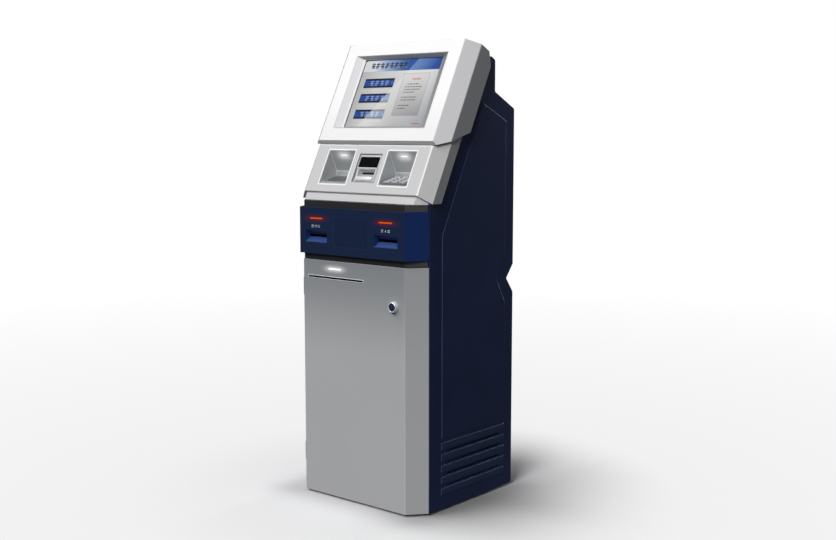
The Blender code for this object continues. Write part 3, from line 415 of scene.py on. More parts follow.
# metals and bay parts
zinc_plate("zinc_plated_sheet", (0.55, 0.56, 0.58), rough=0.38, streak=0.12)
paint("brushed_steel_keypad", (0.30, 0.31, 0.325), rough=0.34, metal=0.45, grain=0.05,
      grain_scale=1500.0, peel=0.06, drift=0.04)
paint("satin_chrome_ring", (0.82, 0.83, 0.85), rough=0.20, metal=0.30, grain=0.02, peel=0.03,
      drift=0.03)
paint("silver_moulding", (0.50, 0.51, 0.52), rough=0.34, metal=0.10, grain=0.03, peel=0.06,
      drift=0.03, spec=0.35)
paint("silver_moulding_lip", (0.78, 0.79, 0.80), rough=0.26, metal=0.15, grain=0.02, peel=0.04,
      drift=0.03, spec=0.45)
paint("lock_plug_navy", (0.012, 0.020, 0.052), rough=0.30, grain=0.03, peel=0.05, spec=0.4)
paint("bay_liner_grey", (0.40, 0.415, 0.42), glow=BAY_GLOW, **LINER)
# painted light: a lighter copy of the liner grey for the wall facing right
paint("bay_liner_cheek", (0.66, 0.68, 0.69), **LINER)
# painted highlight for the rings round the bay openings
paint("bay_rim_painted_highlight", (0.93, 0.93, 0.935), rough=0.40, grain=0.020, grain_scale=900.0,
      peel=0.06, drift=0.01, spec=0.3)
# painted highlight: light copy of the liner grey on its rounded edges
paint("bay_liner_edge", (0.80, 0.81, 0.82), rough=0.40, grain=0.02, peel=0.06, drift=0.02,
      spec=0.3)
paint("black_window_satin", (0.0015, 0.0015, 0.0018), rough=0.55, grain=0.02, peel=0.03,
      drift=0.1, spec=0.04)
paint("scanner_glass_grey", (0.100, 0.104, 0.108), rough=0.30, grain=0.02, peel=0.03, spec=0.3)
paint("key_satin_steel", (0.68, 0.69, 0.71), rough=0.32, metal=0.40, grain=0.04,
      grain_scale=1600.0, peel=0.05, drift=0.03)

# plastics and printed marks
plastic("rubber_foot", (0.025, 0.025, 0.025), rough=0.75, texture=400.0, bump=0.4)
plastic("black_moulding", (0.022, 0.022, 0.024))
plastic("grey_moulding", (0.30, 0.31, 0.32))
plastic("dark_sealing_bead", (0.045, 0.046, 0.050), spec=0.2)
plastic("paper_roll_white", (0.85, 0.85, 0.82), rough=0.85, texture=1600.0, bump=0.1, spec=0.2,
        drift=0.02)
plastic("mark_black", (0.008, 0.008, 0.008), rough=0.6, spec=0.1)
plastic("mark_red", (0.55, 0.03, 0.02), rough=0.45)
plastic("mark_green", (0.03, 0.35, 0.08), rough=0.45)
plastic("mark_white", (0.74, 0.75, 0.78), drift=0.02)

# lit lenses
lit("door_lens_lit", (1.0, 0.975, 0.93), strength=1.25, core=(1.0, 0.98, 0.94),
    centre=DOOR_LAMP, half=(0.0262, 1, 0.0010), fade=0.0010)
for side in SIDES:
    lit("bay_lens_lit_" + side, (1.0, 1.0, 0.98), strength=1.5, core=(1.0, 1.0, 0.98),
        centre=middle("bay_lamp_" + side), half=(0.0115, 0.0011, 0.0011), fade=0.0012)
    lit("amber_lens_" + side, (1.0, 0.110, 0.001), strength=0.43, core=(1.0, 0.215, 0.001),
        centre=AMBER_LAMPS[side], half=(0.0262, 1, 0.0008), fade=0.0012, spec=0.04)


# ------------------------------------------------------------------ screen picture materials
def glass_place(net):
    """Place on the glass: 0 to 1 from left to right, and 0 to 1 from top to bottom."""
    def height(along):
        return (HEAD_ORIGIN + SLOPE * along - SLOPE_OUT * GLASS_DEPTH).z

    x, _, z = net.xyz()
    return (net.span(x, (-GLASS_W / 2, GLASS_W / 2)),
            net.span(z, (height(GLASS_TOP), height(GLASS_TOP - GLASS_H))))


def glare(net, u, v):
    """1 on the lower right of the line from (0.69, 0) to (0.15, 1), and the distance past it."""
    past = net.calc("SUBTRACT", u, net.calc("SUBTRACT", 0.69, net.times(v, 0.54)))
    return net.span(past, (-0.004, 0.004)), past


def panel(name, across, across_low=None, glare_rgb=None, reach=0.5, tail=0.4):
    """A lit picture layer, coloured by ramp stops across the glass.

    The stops blend to across_low at the bottom. glare_rgb is mixed in past the glare line,
    falling to tail over reach.
    """
    net = Net(name)
    u, v = glass_place(net)
    colour = net.ramp(u, across)
    if across_low:
        colour = net.mix(v, colour, net.ramp(u, across_low))
    if glare_rgb:
        mask, past = glare(net, u, v)
        amount = net.times(mask, net.span(past, (0.0, reach), (1.0, tail)))
        colour = net.mix(amount, colour, glare_rgb)
    grain = net.noise(1500.0, detail=0.0)
    net.surface({"Base Color": (0.012, 0.012, 0.014), "Emission Color": colour,
                 "Emission Strength": net.span(grain, (0.3, 0.7), (0.975, 1.025)),
                 "Specular IOR Level": 0.06,
                 "Roughness": net.span(net.noise(60.0), (0.3, 0.7), (0.32, 0.40))})


def flat(tone):
    return [(0.0, tone), (1.0, tone)]


panel("panel_ground_grey",
      [(0.0, 0.42), (0.04, 0.44), (0.45, 0.64), (0.60, 0.71), (0.90, 0.70), (1.0, 0.56)],
      [(0.0, 0.42), (0.04, 0.45), (0.26, 0.60), (0.45, 0.46), (0.60, 0.39),
       (0.80, (0.37, 0.38, 0.41)), (0.94, (0.31, 0.325, 0.365)), (1.0, (0.26, 0.275, 0.31))])
panel("panel_header_blue",
      [(0.0, (0.62, 0.63, 0.66)), (0.14, (0.63, 0.65, 0.70)), (0.30, (0.267, 0.352, 0.597)),
       (0.50, (0.051, 0.125, 0.328)), (0.60, (0.013, 0.073, 0.319)),
       (0.87, (0.018, 0.078, 0.315)), (0.93, (0.010, 0.058, 0.296)), (1.0, (0.009, 0.045, 0.22))],
      glare_rgb=(0.130, 0.245, 0.480), reach=0.27, tail=0.0)
panel("panel_header_sweep",
      [(0.0, (0.10, 0.21, 0.46)), (0.68, (0.10, 0.21, 0.46)), (0.80, (0.075, 0.175, 0.43)),
       (0.95, (0.012, 0.070, 0.31)), (1.0, (0.010, 0.06, 0.28))])
panel("panel_button_blue", flat((0.0055, 0.050, 0.280)), glare_rgb=(0.040, 0.140, 0.420))
panel("panel_button_edge", flat((0.001, 0.001, 0.001)))
panel("panel_button_mark", flat((0.23, 0.30, 0.45)), glare_rgb=(0.52, 0.58, 0.70))
panel("panel_title_dark", flat((0.006, 0.007, 0.012)))
panel("panel_title_gold", flat((0.32, 0.27, 0.12)))
panel("panel_notice_grey", flat(0.70), flat(0.17))
panel("panel_notice_edge", flat(0.36), flat(0.18))
panel("panel_line_grey", flat(0.030), flat(0.012))
panel("panel_red", flat((0.52, 0.070, 0.055)))
panel("panel_green", flat((0.03, 0.60, 0.13)))
panel("panel_soft_bar", [(0.0, 0.50), (0.45, 0.72), (1.0, 0.72)],
      [(0.0, 0.50), (0.45, 0.68), (1.0, 0.62)])


def cover_sheen():
    """Clear cover with a faint sheen past the glare line, below the header."""
    net = Net("screen_cover_sheen")
    u, v = glass_place(net)
    mask, past = glare(net, u, v)
    fading = net.times(mask, net.span(past, (0.0, 0.62), (1.0, 0.10)))
    sheen = net.times(fading, net.span(v, (0.168, 0.174)))
    clear = net.node("ShaderNodeBsdfTransparent").outputs[0]
    mixed = net.mix_shader(net.times(sheen, 0.19), clear, net.emission((0.86, 0.86, 0.84)))
    net.feed(net.out.inputs["Surface"], mixed)
    net.tree.nodes.remove(net.bsdf)


cover_sheen()


# ------------------------------------------------------------------ objects from meshes
def add_object(name, data):
    ob = bpy.data.objects.new(name, data)
    SCENE.collection.objects.link(ob)
    return ob


def mesh_object(name, bm, materials):
    """Turns bm into an object; materials is a string of material names."""
    mesh = bpy.data.meshes.new(name)
    bm.to_mesh(mesh)
    bm.free()
    for material in materials.split():
        mesh.materials.append(MATERIALS[material])
    return add_object(name, mesh)


def smooth_below(ob, angle):
    ob.data.shade_smooth()
    ob.data.set_sharp_from_angle(angle=math.radians(angle))


def keep(ob, body, replaces=None):
    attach(ob, body)
    if replaces:
        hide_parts(replaces)


def piece(name, bm, materials, body, replaces=None, smooth=32):
    bmesh.ops.recalc_face_normals(bm, faces=bm.faces)
    ob = mesh_object(name, bm, materials)
    smooth_below(ob, smooth)
    keep(ob, body, replaces)


def bake(ob):
    """Applies the object's modifiers to its mesh."""
    bpy.context.view_layer.update()
    evaluated = ob.evaluated_get(bpy.context.evaluated_depsgraph_get())
    done = bpy.data.meshes.new_from_object(evaluated)
    name = ob.data.name
    ob.modifiers.clear()
    ob.data = done
    done.name = name


def weigh_edges(bm, radius, angle):
    """Sets bevel weights on the edges sharper than angle and returns the largest radius.

    Short edges nearby make the radius smaller, so the rounding never folds over.
    """
    bm.normal_update()
    layers = bm.edges.layers.float
    layer = layers.get("bevel_weight_edge") or layers.new("bevel_weight_edge")
    radii = {}
    for edge in bm.edges:
        if len(edge.link_faces) == 2 and edge.calc_face_angle(0) > math.radians(angle):
            wanted = radius(edge) if callable(radius) else radius
            room = min(near.calc_length() for vert in edge.verts for near in vert.link_edges)
            radii[edge] = min(wanted, 0.42 * room)
    if not radii:
        return 0.0
    largest = max(radii.values())
    for edge, value in radii.items():
        edge[layer] = value / largest
    return largest


def refine(node, materials, radius=0.0007, segments=2, angle=24, face_index=None,
           edge_index=-1, recolour=None):
    """A finished copy of a CAD node with merged flats and rounded edges, shown in its place.

    radius is a length or a function of the edge. face_index picks each face's material,
    edge_index is the material of the rounding, and recolour changes faces after rounding.
    """
    bm = bmesh.new()
    bm.from_mesh(NODES[node].data)
    bmesh.ops.remove_doubles(bm, verts=bm.verts, dist=3e-6)
    bmesh.ops.dissolve_limit(bm, angle_limit=math.radians(0.5), verts=bm.verts, edges=bm.edges)
    bmesh.ops.dissolve_degenerate(bm, dist=1e-6, edges=bm.edges)
    bmesh.ops.recalc_face_normals(bm, faces=bm.faces)
    largest = weigh_edges(bm, radius, angle)
    if face_index:
        bm.normal_update()
        for face in bm.faces:
            face.material_index = face_index(face)
    ob = mesh_object(node + "_finished", bm, materials)
    if largest > 0:
        bevel = ob.modifiers.new("edges", "BEVEL")
        bevel.limit_method = "WEIGHT"
        bevel.width = largest
        bevel.segments = segments
        bevel.use_clamp_overlap = False
        bevel.miter_outer = "MITER_SHARP"
        bevel.loop_slide = True
        bevel.material = edge_index
        bake(ob)
    if recolour:
        for face in ob.data.polygons:
            face.material_index = recolour(face.normal, face.center, face.material_index)
    # normals that follow the large faces, kept in the mesh itself
    smooth_below(ob, 32)
    weighted = ob.modifiers.new("face_weight", "WEIGHTED_NORMAL")
    weighted.keep_sharp = True
    weighted.weight = 80
    bake(ob)
    keep(ob, BODY_OF[node], node)


# ------------------------------------------------------------------ outlines and solids
def rect(cx, cy, width, height):
    x, y = width / 2, height / 2
    return [(cx - x, cy - y), (cx + x, cy - y), (cx + x, cy + y), (cx - x, cy + y)]


def rounded(cx, cy, width, height, radius, steps=5):
    points = []
    for sx, sy, start in ((1, 1, 0), (-1, 1, 90), (-1, -1, 180), (1, -1, 270)):
        for i in range(steps + 1):
            angle = math.radians(start + 90 * i / steps)
            points.append((cx + sx * (width / 2 - radius) + radius * math.cos(angle),
                           cy + sy * (height / 2 - radius) + radius * math.sin(angle)))
    return points


def disc(cx, cy, radius, count=24):
    angles = [2 * math.pi * i / count for i in range(count)]
    return [(cx + radius * math.cos(angle), cy + radius * math.sin(angle)) for angle in angles]


def inset(outline, i, distance):
    """Point i of the outline, moved inwards by distance."""
    if distance == 0:
        return outline[i]
    before, point, after = (Vector(outline[(i + k) % len(outline)]) for k in (-1, 0, 1))
    d1, d2 = (point - before).normalized(), (after - point).normalized()
    inward = Vector((-d1.y, d1.x)) + Vector((-d2.y, d2.x))
    if inward.length < 1e-6:
        return tuple(point)
    inward = inward.normalized()
    return tuple(point + inward * (distance / max(0.35, inward.dot(Vector((-d1.y, d1.x))))))


def add_bands(bm, pairs, index):
    """Closes each pair of point rows with a band of quads."""
    for a, b in pairs:
        for i in range(len(a)):
            j = (i + 1) % len(a)
            bm.faces.new((a[i], a[j], b[j], b[i])).material_index = index


def slab(bm, outline, lo, hi, matrix, edge=0.0, segments=2, index=0):
    """An outline extruded from lo to hi over the plane, its upper rim rounded by edge."""
    levels = [(lo, 0.0)]
    if edge > 0:
        for i in range(segments + 1):
            angle = math.pi / 2 * i / segments
            levels.append((hi - edge + edge * math.sin(angle), edge * (1 - math.cos(angle))))
    else:
        levels.append((hi, 0.0))
    layers = [[bm.verts.new(matrix @ Vector((*inset(outline, i, distance), height)))
               for i in range(len(outline))] for height, distance in levels]
    bm.faces.new(list(reversed(layers[0]))).material_index = index
    bm.faces.new(layers[-1]).material_index = index
    add_bands(bm, zip(layers, layers[1:]), index)
    return bm


def ring(bm, outer, inner, lo, hi, matrix):
    """A flat closed frame between two outlines with the same number of points."""
    rows = [[bm.verts.new(matrix @ Vector((*point, height))) for point in points]
            for points, height in ((outer, lo), (outer, hi), (inner, hi), (inner, lo))]
    add_bands(bm, zip(rows, rows[1:] + rows[:1]), 0)
    return bm


def lathe(bm, profile, axis, at, steps, index=0):
    """Turns (radius, distance along axis) points about axis through at; radius 0 closes an end."""
    u = axis.orthogonal().normalized()
    w = axis.cross(u)
    turns = [2 * math.pi * i / steps for i in range(steps)]
    rows = []
    for radius, along in profile:
        centre = at + axis * along
        if radius < 1e-9:
            rows.append([bm.verts.new(centre)])
        else:
            rows.append([bm.verts.new(centre + (u * math.cos(t) + w * math.sin(t)) * radius)
                         for t in turns])
    for a, b in zip(rows, rows[1:]):
        for i in range(steps):
            j = (i + 1) % steps
            if len(a) == 1:
                corners = (a[0], b[j], b[i])
            elif len(b) == 1:
                corners = (a[i], a[j], b[0])
            else:
                corners = (a[i], a[j], b[j], b[i])
            bm.faces.new(corners).material_index = index
    return bm


def screw(bm, at, out, radius):
    """A domed screw head standing on the surface at at, facing out."""
    lathe(bm, [(0, -0.0004), (radius, -0.0004), (radius, 0.0003), (radius * 0.86, 0.0009),
               (radius * 0.5, 0.0013), (radius * 0.2, 0.0014), (0, 0.0014)], out, at, 16)


# ------------------------------------------------------------------ shells, panels, door
# material places of the head and console shells: SIDE, UNDER, FOLD and LEFT take copies of the
# white with painted shade, the console's FOLD being a painted highlight on its rounded edges, and
# the console's FACE is a copy with painted shade too
FACE, SIDE, UNDER, FOLD, LEFT = range(5)


def along(edge, direction):
    a, b = edge.verts
    return abs((b.co - a.co).normalized().dot(direction)) > 0.985


def on_slope(point, origin):
    """Distance of point up the slope from origin, and its height out of the tilted face."""
    offset = point - origin
    return offset.dot(SLOPE), offset.dot(SLOPE_OUT)


def edge_middle(edge):
    return (edge.verts[0].co + edge.verts[1].co) / 2


def head_radius(edge):
    mid = edge_middle(edge)
    _, height = on_slope(mid, HEAD_ORIGIN)
    at_fold = abs(height) < 0.0005 or abs(height + 0.0395) < 0.0006
    if along(edge, SLOPE) and edge.calc_length() > 0.2 and abs(mid.x) > 0.24 and at_fold:
        return 0.0030
    return 0.0009


def console_radius(edge):
    mid = edge_middle(edge)
    up, height = on_slope(mid, CONSOLE_ORIGIN)
    on_face = abs(height) < 0.0005
    at_fold = on_face or abs(height + 0.0381) < 0.0006
    if on_face and abs(mid.x) < 0.2350 and 0.006 < up < 0.170:
        return 0.0022
    if on_face and up < 0.004 and along(edge, X_AXIS) and edge.calc_length() > 0.2:
        return 0.0040
    if along(edge, SLOPE) and edge.calc_length() > 0.1 and abs(mid.x) > 0.24 and at_fold:
        return 0.0024
    return 0.0008


def console_face(face):
    if face.normal.x < -0.25:
        return LEFT
    if face.normal.x > 0.95:
        return SIDE
    return UNDER if face.normal.z < -0.1 else FACE


def head_face(face):
    return FOLD if 0.25 < face.normal.x <= 0.95 else console_face(face)


def turned_left(normal, centre):
    return centre.x < -0.24 and normal.x < -0.12


# faces turned left at the outer edges take the copy with painted shade
def head_recolour(normal, centre, index):
    return LEFT if turned_left(normal, centre) and index == FACE else index


def console_recolour(normal, centre, index):
    up, _ = on_slope(centre, CONSOLE_ORIGIN)
    if index in (FACE, FOLD) and turned_left(normal, centre):
        return LEFT
    # painted shade on the fold along the console's lower edge
    if index == FOLD and up < 0.0045 and abs(centre.x) < 0.25:
        return UNDER
    return index


def recess_face(face):
    """0 front, 1 left wall, 2 top wall, 3 right wall, 4 bottom wall; the walls take painted light
    and shade.
    """
    normal = face.normal
    if normal.x < -0.3:
        return 3
    if normal.x > 0.3:
        return 1
    if normal.dot(SLOPE) > 0.5:
        return 4
    return 2 if normal.z < -0.1 else 0


def fold_radius(edge):
    return 0.0022 if along(edge, Z_AXIS) and edge.calc_length() > 0.1 else 0.0007


def folded(face):
    """1 on the faces turned part of the way sideways."""
    return 1 if 0.25 < abs(face.normal.x) < 0.95 else 0


def tray_face(face):
    """1 faces up, 2 faces left, 3 faces down, 4 faces right, 5 is the sunk back wall."""
    normal = face.normal
    if normal.z > 0.25:
        return 1
    if normal.z < -0.25:
        return 3
    if normal.x > 0.25:
        return 4
    if normal.y < -0.9 and face.calc_center_median().y > -MID_DEPTH:
        return 5
    return 2 if normal.x < -0.25 else 0


def side_panel_face(face):
    """1 on the slanted flanks, 2 on the raised fields between them."""
    sideways = abs(face.normal.x)
    if sideways < 0.97:
        return 1 if sideways > 0.15 else 0
    depth = face.calc_center_median().y + MID_DEPTH
    return 2 if 0.1180 < depth < 0.4590 and face.calc_area() < 0.05 else 0


def liner_face(face):
    """1 on the wall that faces right."""
    return 1 if face.normal.x > 0.6 else 0


refine("head_shell", "white_paint_grained white_paint_side white_paint_underside "
       "white_paint_fold white_paint_left", head_radius, 3, face_index=head_face,
       recolour=head_recolour)
refine("console_shell", "console_paint_grained white_paint_side white_paint_underside "
       "console_paint_edge white_paint_left", console_radius, 3, face_index=console_face,
       edge_index=FOLD, recolour=console_recolour)
refine("screen_surround", "white_paint_grained recess_paint_left recess_paint_top "
       "recess_paint_right recess_paint_bottom", face_index=recess_face)
refine("front_door", "door_grey_satin door_grey_fold door_grey_edge", fold_radius, 3,
       face_index=folded, edge_index=2)
refine("slot_band", "band_blue_satin band_blue_fold", fold_radius, 3, face_index=folded)
refine("fascia_carrier", "black_paint_satin black_paint_fold", fold_radius, face_index=folded)
for side in SIDES:
    refine("side_panel_" + side, "navy_paint_fine navy_paint_edge navy_paint_raised", 0.0009,
           angle=20, face_index=side_panel_face)
    refine("slot_insert_" + side, "band_blue_satin slot_tray_blue band_blue_fold "
           "band_blue_underside band_blue_cheek mark_black", 0.0004, face_index=tray_face)
    refine("bay_liner_" + side, "bay_liner_grey bay_liner_cheek bay_liner_edge", 0.0012,
           face_index=liner_face, edge_index=2)
for node in ("rear_lower_panel", "rear_upper_panel", "rear_grip_channel", "rear_hood"):
    refine(node, "navy_paint_fine", 0.0008, angle=20)

# pieces of one material: node, material, edge radius, segments
PLAIN_PIECES = (
    ("base_tray", "zinc_plated_sheet", 0.0006, 2),
    ("equipment_shelf", "zinc_plated_sheet", 0.0006, 2),
    ("band_centre_plate", "band_plate_blue", 0.0005, 2),
    ("statement_slot_bezel", "statement_bezel_silver", 0.0006, 2),
    ("door_hinge_lower", "zinc_plated_sheet", 0.0004, 2),
    ("door_hinge_upper", "zinc_plated_sheet", 0.0004, 2),
    ("head_hinge_rod", "zinc_plated_sheet", 0.0004, 2),
    ("lock_cam", "zinc_plated_sheet", 0.0006, 2),
    ("card_reader_bezel", "silver_moulding", 0.0009, 2),
    ("card_reader_throat", "silver_moulding", 0.0010, 3),
    ("card_reader_display", "black_window_satin", 0.0016, 3),
    ("document_scanner_window", "scanner_glass_grey", 0.0009, 3),
    ("pin_pad_frame", "brushed_steel_keypad", 0.0007, 2),
    ("display_module", "zinc_plated_sheet", 0.0012, 2),
    ("computer", "black_moulding", 0.0015, 2),
    ("statement_printer", "grey_moulding", 0.0012, 2),
    ("cash_cassette", "zinc_plated_sheet", 0.0015, 2),
    ("fan_frame", "black_moulding", 0.0008, 2),
    ("fan_rotor", "black_moulding", 0.0003, 1),
    ("paper_roll", "paper_roll_white", 0.0006, 2),
    ("door_lamp_lens", "door_lens_lit", 0.0006, 3),
    ("bay_lamp_left", "bay_lens_lit_left", 0.0007, 3),
    ("bay_lamp_right", "bay_lens_lit_right", 0.0007, 3),
    ("amber_light_left", "amber_lens_left", 0.0007, 3),
    ("amber_light_right", "amber_lens_right", 0.0007, 3),
)
for entry in PLAIN_PIECES:
    refine(*entry)

# ------------------------------------------------------------------ levelling feet
# (radius, height)
FOOT_PAD = [(0, 0), (0.0188, 0), (0.0198, 0.0008), (0.0200, 0.0022), (0.0185, 0.0040),
            (0.0175, 0.0045), (0.0075, 0.0047), (0, 0.0047)]
STUD_BASE, STUD_TOP = 0.0090, 0.0358
THREAD_PITCH, THREAD_TURNS = 0.0012, 23


def stud_profile():
    """Stud with a zigzag for its thread."""
    profile = [(0, STUD_BASE)]
    for turn in range(THREAD_TURNS):
        z = STUD_BASE + turn * THREAD_PITCH
        profile += [(0.0046, z), (0.0040, z + THREAD_PITCH / 2)]
    return profile + [(0.0036, STUD_TOP), (0, STUD_TOP)]


def add_foot(node):
    x, y, _ = middle(node)
    at = Vector((x, y, 0))
    bm = lathe(bmesh.new(), FOOT_PAD, Z_AXIS, at, 40)
    nut = plane(X_AXIS, Y_AXIS, at)
    slab(bm, disc(0, 0, 0.0072, 6), 0.0046, 0.0092, nut, edge=0.0004, segments=1, index=1)
    lathe(bm, stud_profile(), Z_AXIS, at, 20, index=1)
    piece(node + "_finished", bm, "rubber_foot zinc_plated_sheet", "cabinet", node)


for corner in ("front_left", "front_right", "rear_left", "rear_right"):
    add_foot("foot_" + corner)

# ------------------------------------------------------------------ lock
LOCK_AT = Vector((0.1758, -MID_DEPTH, 0.6662))
LOCK = front_plane(LOCK_AT.y, LOCK_AT.x, LOCK_AT.z)
# (radius, distance out of the door)
LOCK_HOUSING = [
    (0.0128, 0.0062), (0.0128, 0.0100), (0.0131, 0.0112), (0.0138, 0.0119), (0.0148, 0.0119),
    (0.0157, 0.0113), (0.0162, 0.0100), (0.0172, 0.0030), (0.0178, 0.0018), (0.0180, 0.0010),
    (0.0178, 0.0004), (0.0100, 0.0004), (0.0100, -0.0240), (0.0064, -0.0240), (0.0064, 0.0062),
    (0.0128, 0.0062)]
LOCK_PLUG = [
    (0, 0.0108), (0.0030, 0.0108), (0.0088, 0.0112), (0.0112, 0.0110), (0.0122, 0.0101),
    (0.0124, 0.0090), (0.0124, 0.0064), (0.0060, 0.0064), (0.0060, -0.0262), (0, -0.0262)]

piece("lock_housing_finished", lathe(bmesh.new(), LOCK_HOUSING, FRONTWARD, LOCK_AT, 72),
      "satin_chrome_ring", "door", "lock_housing")
piece("lock_plug_finished", lathe(bmesh.new(), LOCK_PLUG, FRONTWARD, LOCK_AT, 64),
      "lock_plug_navy", "lock", "lock_plug")
keyway = slab(bmesh.new(), rounded(0, 0, 0.0024, 0.0092, 0.0011, 4), 0.0104, 0.01135, LOCK)
slab(keyway, rounded(0.0012, 0.0018, 0.0030, 0.0016, 0.0007, 3), 0.0104, 0.01133, LOCK)
piece("lock_keyway", keyway, "mark_black", "lock")
# painted light: a lighter navy ring round the keyway
piece("lock_keyway_lip",
      ring(bmesh.new(), rounded(0, 0, 0.0040, 0.0110, 0.0019),
           rounded(0, 0, 0.0025, 0.0093, 0.00115), 0.0106, 0.01145, LOCK),
      "navy_paint_edge", "lock")

# ------------------------------------------------------------------ screen picture
# Picture places are fractions of the glass: u from the left, v from the top.
PICTURE_FOOT = -0.0001
HEADER_FOOT_V = 0.170
BUTTON_ROWS = ((0.277, 0.413), (0.500, 0.632), (0.732, 0.866))  # top and bottom v
# crescents over the header: start u, end u, bow, thickness
CRESCENTS = ((0.60, 0.88, 0.10, 0.035), (0.70, 0.95, 0.13, 0.022))
CRESCENT_STEPS = 14
TITLE_STARTS = [0.096 + i * 0.0600 for i in range(8)]
# notice text: v of the line, start u, end u
NOTICE_LINES = (
    (0.372, 0.640, 0.790), (0.412, 0.620, 0.835), (0.450, 0.620, 0.815), (0.490, 0.620, 0.760),
    (0.562, 0.615, 0.800), (0.602, 0.615, 0.800), (0.680, 0.610, 0.745), (0.722, 0.610, 0.712))
WORD_WIDTHS = (0.026, 0.038, 0.018, 0.030)
WORD_GAP = 0.007


def at_uv(u, v):
    return (u - 0.5) * GLASS_W, (0.5 - v) * GLASS_H


def uv_rect(u0, v0, u1, v1, radius=0.0):
    box = (*at_uv((u0 + u1) / 2, (v0 + v1) / 2), (u1 - u0) * GLASS_W, (v1 - v0) * GLASS_H)
    return rounded(*box, radius, 4) if radius else rect(*box)


def crescent(u0, u1, bow, thickness):
    upper, lower = [], []
    for i in range(CRESCENT_STEPS + 1):
        t = i / CRESCENT_STEPS
        u = u0 + (u1 - u0) * t
        swell = math.sin(math.pi * t)
        v = 0.162 - 0.150 * t - bow * swell * 0.35
        upper.append(at_uv(u, max(0.008, v - thickness * swell)))
        lower.append(at_uv(u, min(0.166, v)))
    return lower + list(reversed(upper[1:-1]))


def title_strokes():
    """Eight dark signs of four strokes each."""
    strokes = []
    for i, u in enumerate(TITLE_STARTS):
        foot = u + (0.002 if i % 2 else 0.035)
        strokes += [
            uv_rect(u, 0.056, u + 0.049, 0.070),
            uv_rect(u + (0.004 if i % 2 else 0.0), 0.084, u + (0.044 if i % 3 else 0.050), 0.098),
            uv_rect(u + 0.019, 0.042, u + 0.029, 0.128),
            uv_rect(foot, 0.090, foot + 0.009, 0.128)]
    return strokes


def button_marks():
    """Four signs of four strokes on each button, and a chevron at its right end."""
    marks = []
    for row, (top, bottom) in enumerate(BUTTON_ROWS):
        v = (top + bottom) / 2
        for i in range(4):
            u = 0.152 + i * 0.066
            foot = u + (0.002 if (i + row) % 2 else 0.034)
            marks += [
                uv_rect(u, v - 0.031, u + 0.046, v - 0.020),
                uv_rect(u + 0.004 * ((i + row) % 3), v - 0.004, u + 0.046, v + 0.007),
                uv_rect(u + 0.018, v - 0.038, u + 0.027, v + 0.038),
                uv_rect(foot, v + 0.012, foot + 0.009, v + 0.036)]
        cx, cy = at_uv(0.435, v)
        marks.append([(cx + x, cy + y) for x, y in (
            (-0.0022, -0.0050), (-0.0005, -0.0050), (0.0022, 0.0),
            (-0.0005, 0.0050), (-0.0022, 0.0050), (0.0004, 0.0))])
    return marks


def notice_words():
    words = []
    for v, u, end in NOTICE_LINES:
        count = 0
        while u < end:
            width = WORD_WIDTHS[count % 4]
            words.append(uv_rect(u, v - 0.0078, min(u + width, end), v + 0.0078))
            u += width + WORD_GAP
            count += 1
    return words


def screen_layer(name, material, lift, outlines):
    """Flat shapes printed on the glass, their tops lift above the picture plane."""
    bm = bmesh.new()
    for outline in outlines:
        slab(bm, outline, PICTURE_FOOT, lift, PICTURE)
    piece(name, bm, material, "head")


def screen_trim(name, material, outline, lo, hi, edge=0.0):
    piece(name, slab(bmesh.new(), outline, lo, hi, PICTURE, edge), material, "head")


NOTICE = uv_rect(0.566, 0.222, 0.887, 0.818, 0.0018)

refine("touch_screen", "panel_ground_grey", 0.0006)
screen_layer("screen_header", "panel_header_blue", 0.00006,
             [uv_rect(0.004, 0.004, 0.996, HEADER_FOOT_V)])
screen_layer("screen_header_sweep", "panel_header_sweep", 0.00014,
             [crescent(*entry) for entry in CRESCENTS])
screen_layer("screen_title_bars", "panel_title_dark", 0.00018, title_strokes())
screen_layer("screen_title_underline", "panel_title_gold", 0.00017,
             [uv_rect(u + 0.004, 0.110, u + 0.044, 0.120) for u in TITLE_STARTS])
screen_layer("screen_button_edges", "panel_button_edge", 0.00010,
             [uv_rect(0.075, top, 0.460, bottom) for top, bottom in BUTTON_ROWS])
screen_layer("screen_buttons", "panel_button_blue", 0.00016,
             [uv_rect(0.0765, top + 0.024, 0.4585, bottom - 0.024) for top, bottom in BUTTON_ROWS])
screen_layer("screen_button_marks", "panel_button_mark", 0.00022, button_marks())
screen_layer("screen_notice", "panel_notice_grey", 0.00008, [NOTICE])
piece("screen_notice_edge",
      ring(bmesh.new(), uv_rect(0.560, 0.214, 0.893, 0.826, 0.0024), NOTICE,
           PICTURE_FOOT, 0.00010, PICTURE),
      "panel_notice_edge", "head")
screen_layer("screen_notice_lines", "panel_line_grey", 0.00014, notice_words())
screen_layer("screen_notice_heading", "panel_red", 0.00014,
             [uv_rect(0.690 + i * 0.026, 0.288, 0.710 + i * 0.026, 0.314) for i in range(4)])
screen_layer("screen_mark_red", "panel_red", 0.00014,
             [uv_rect(0.850 + i * 0.020, 0.930, 0.864 + i * 0.020, 0.950) for i in range(5)])
screen_layer("screen_mark_green", "panel_green", 0.00014, [disc(*at_uv(0.900, 0.896), 0.0034, 20)])
screen_layer("screen_soft_bars", "panel_soft_bar", 0.00005,
             [uv_rect(0.078, bottom + 0.026, 0.455, bottom + 0.046) for _, bottom in BUTTON_ROWS])

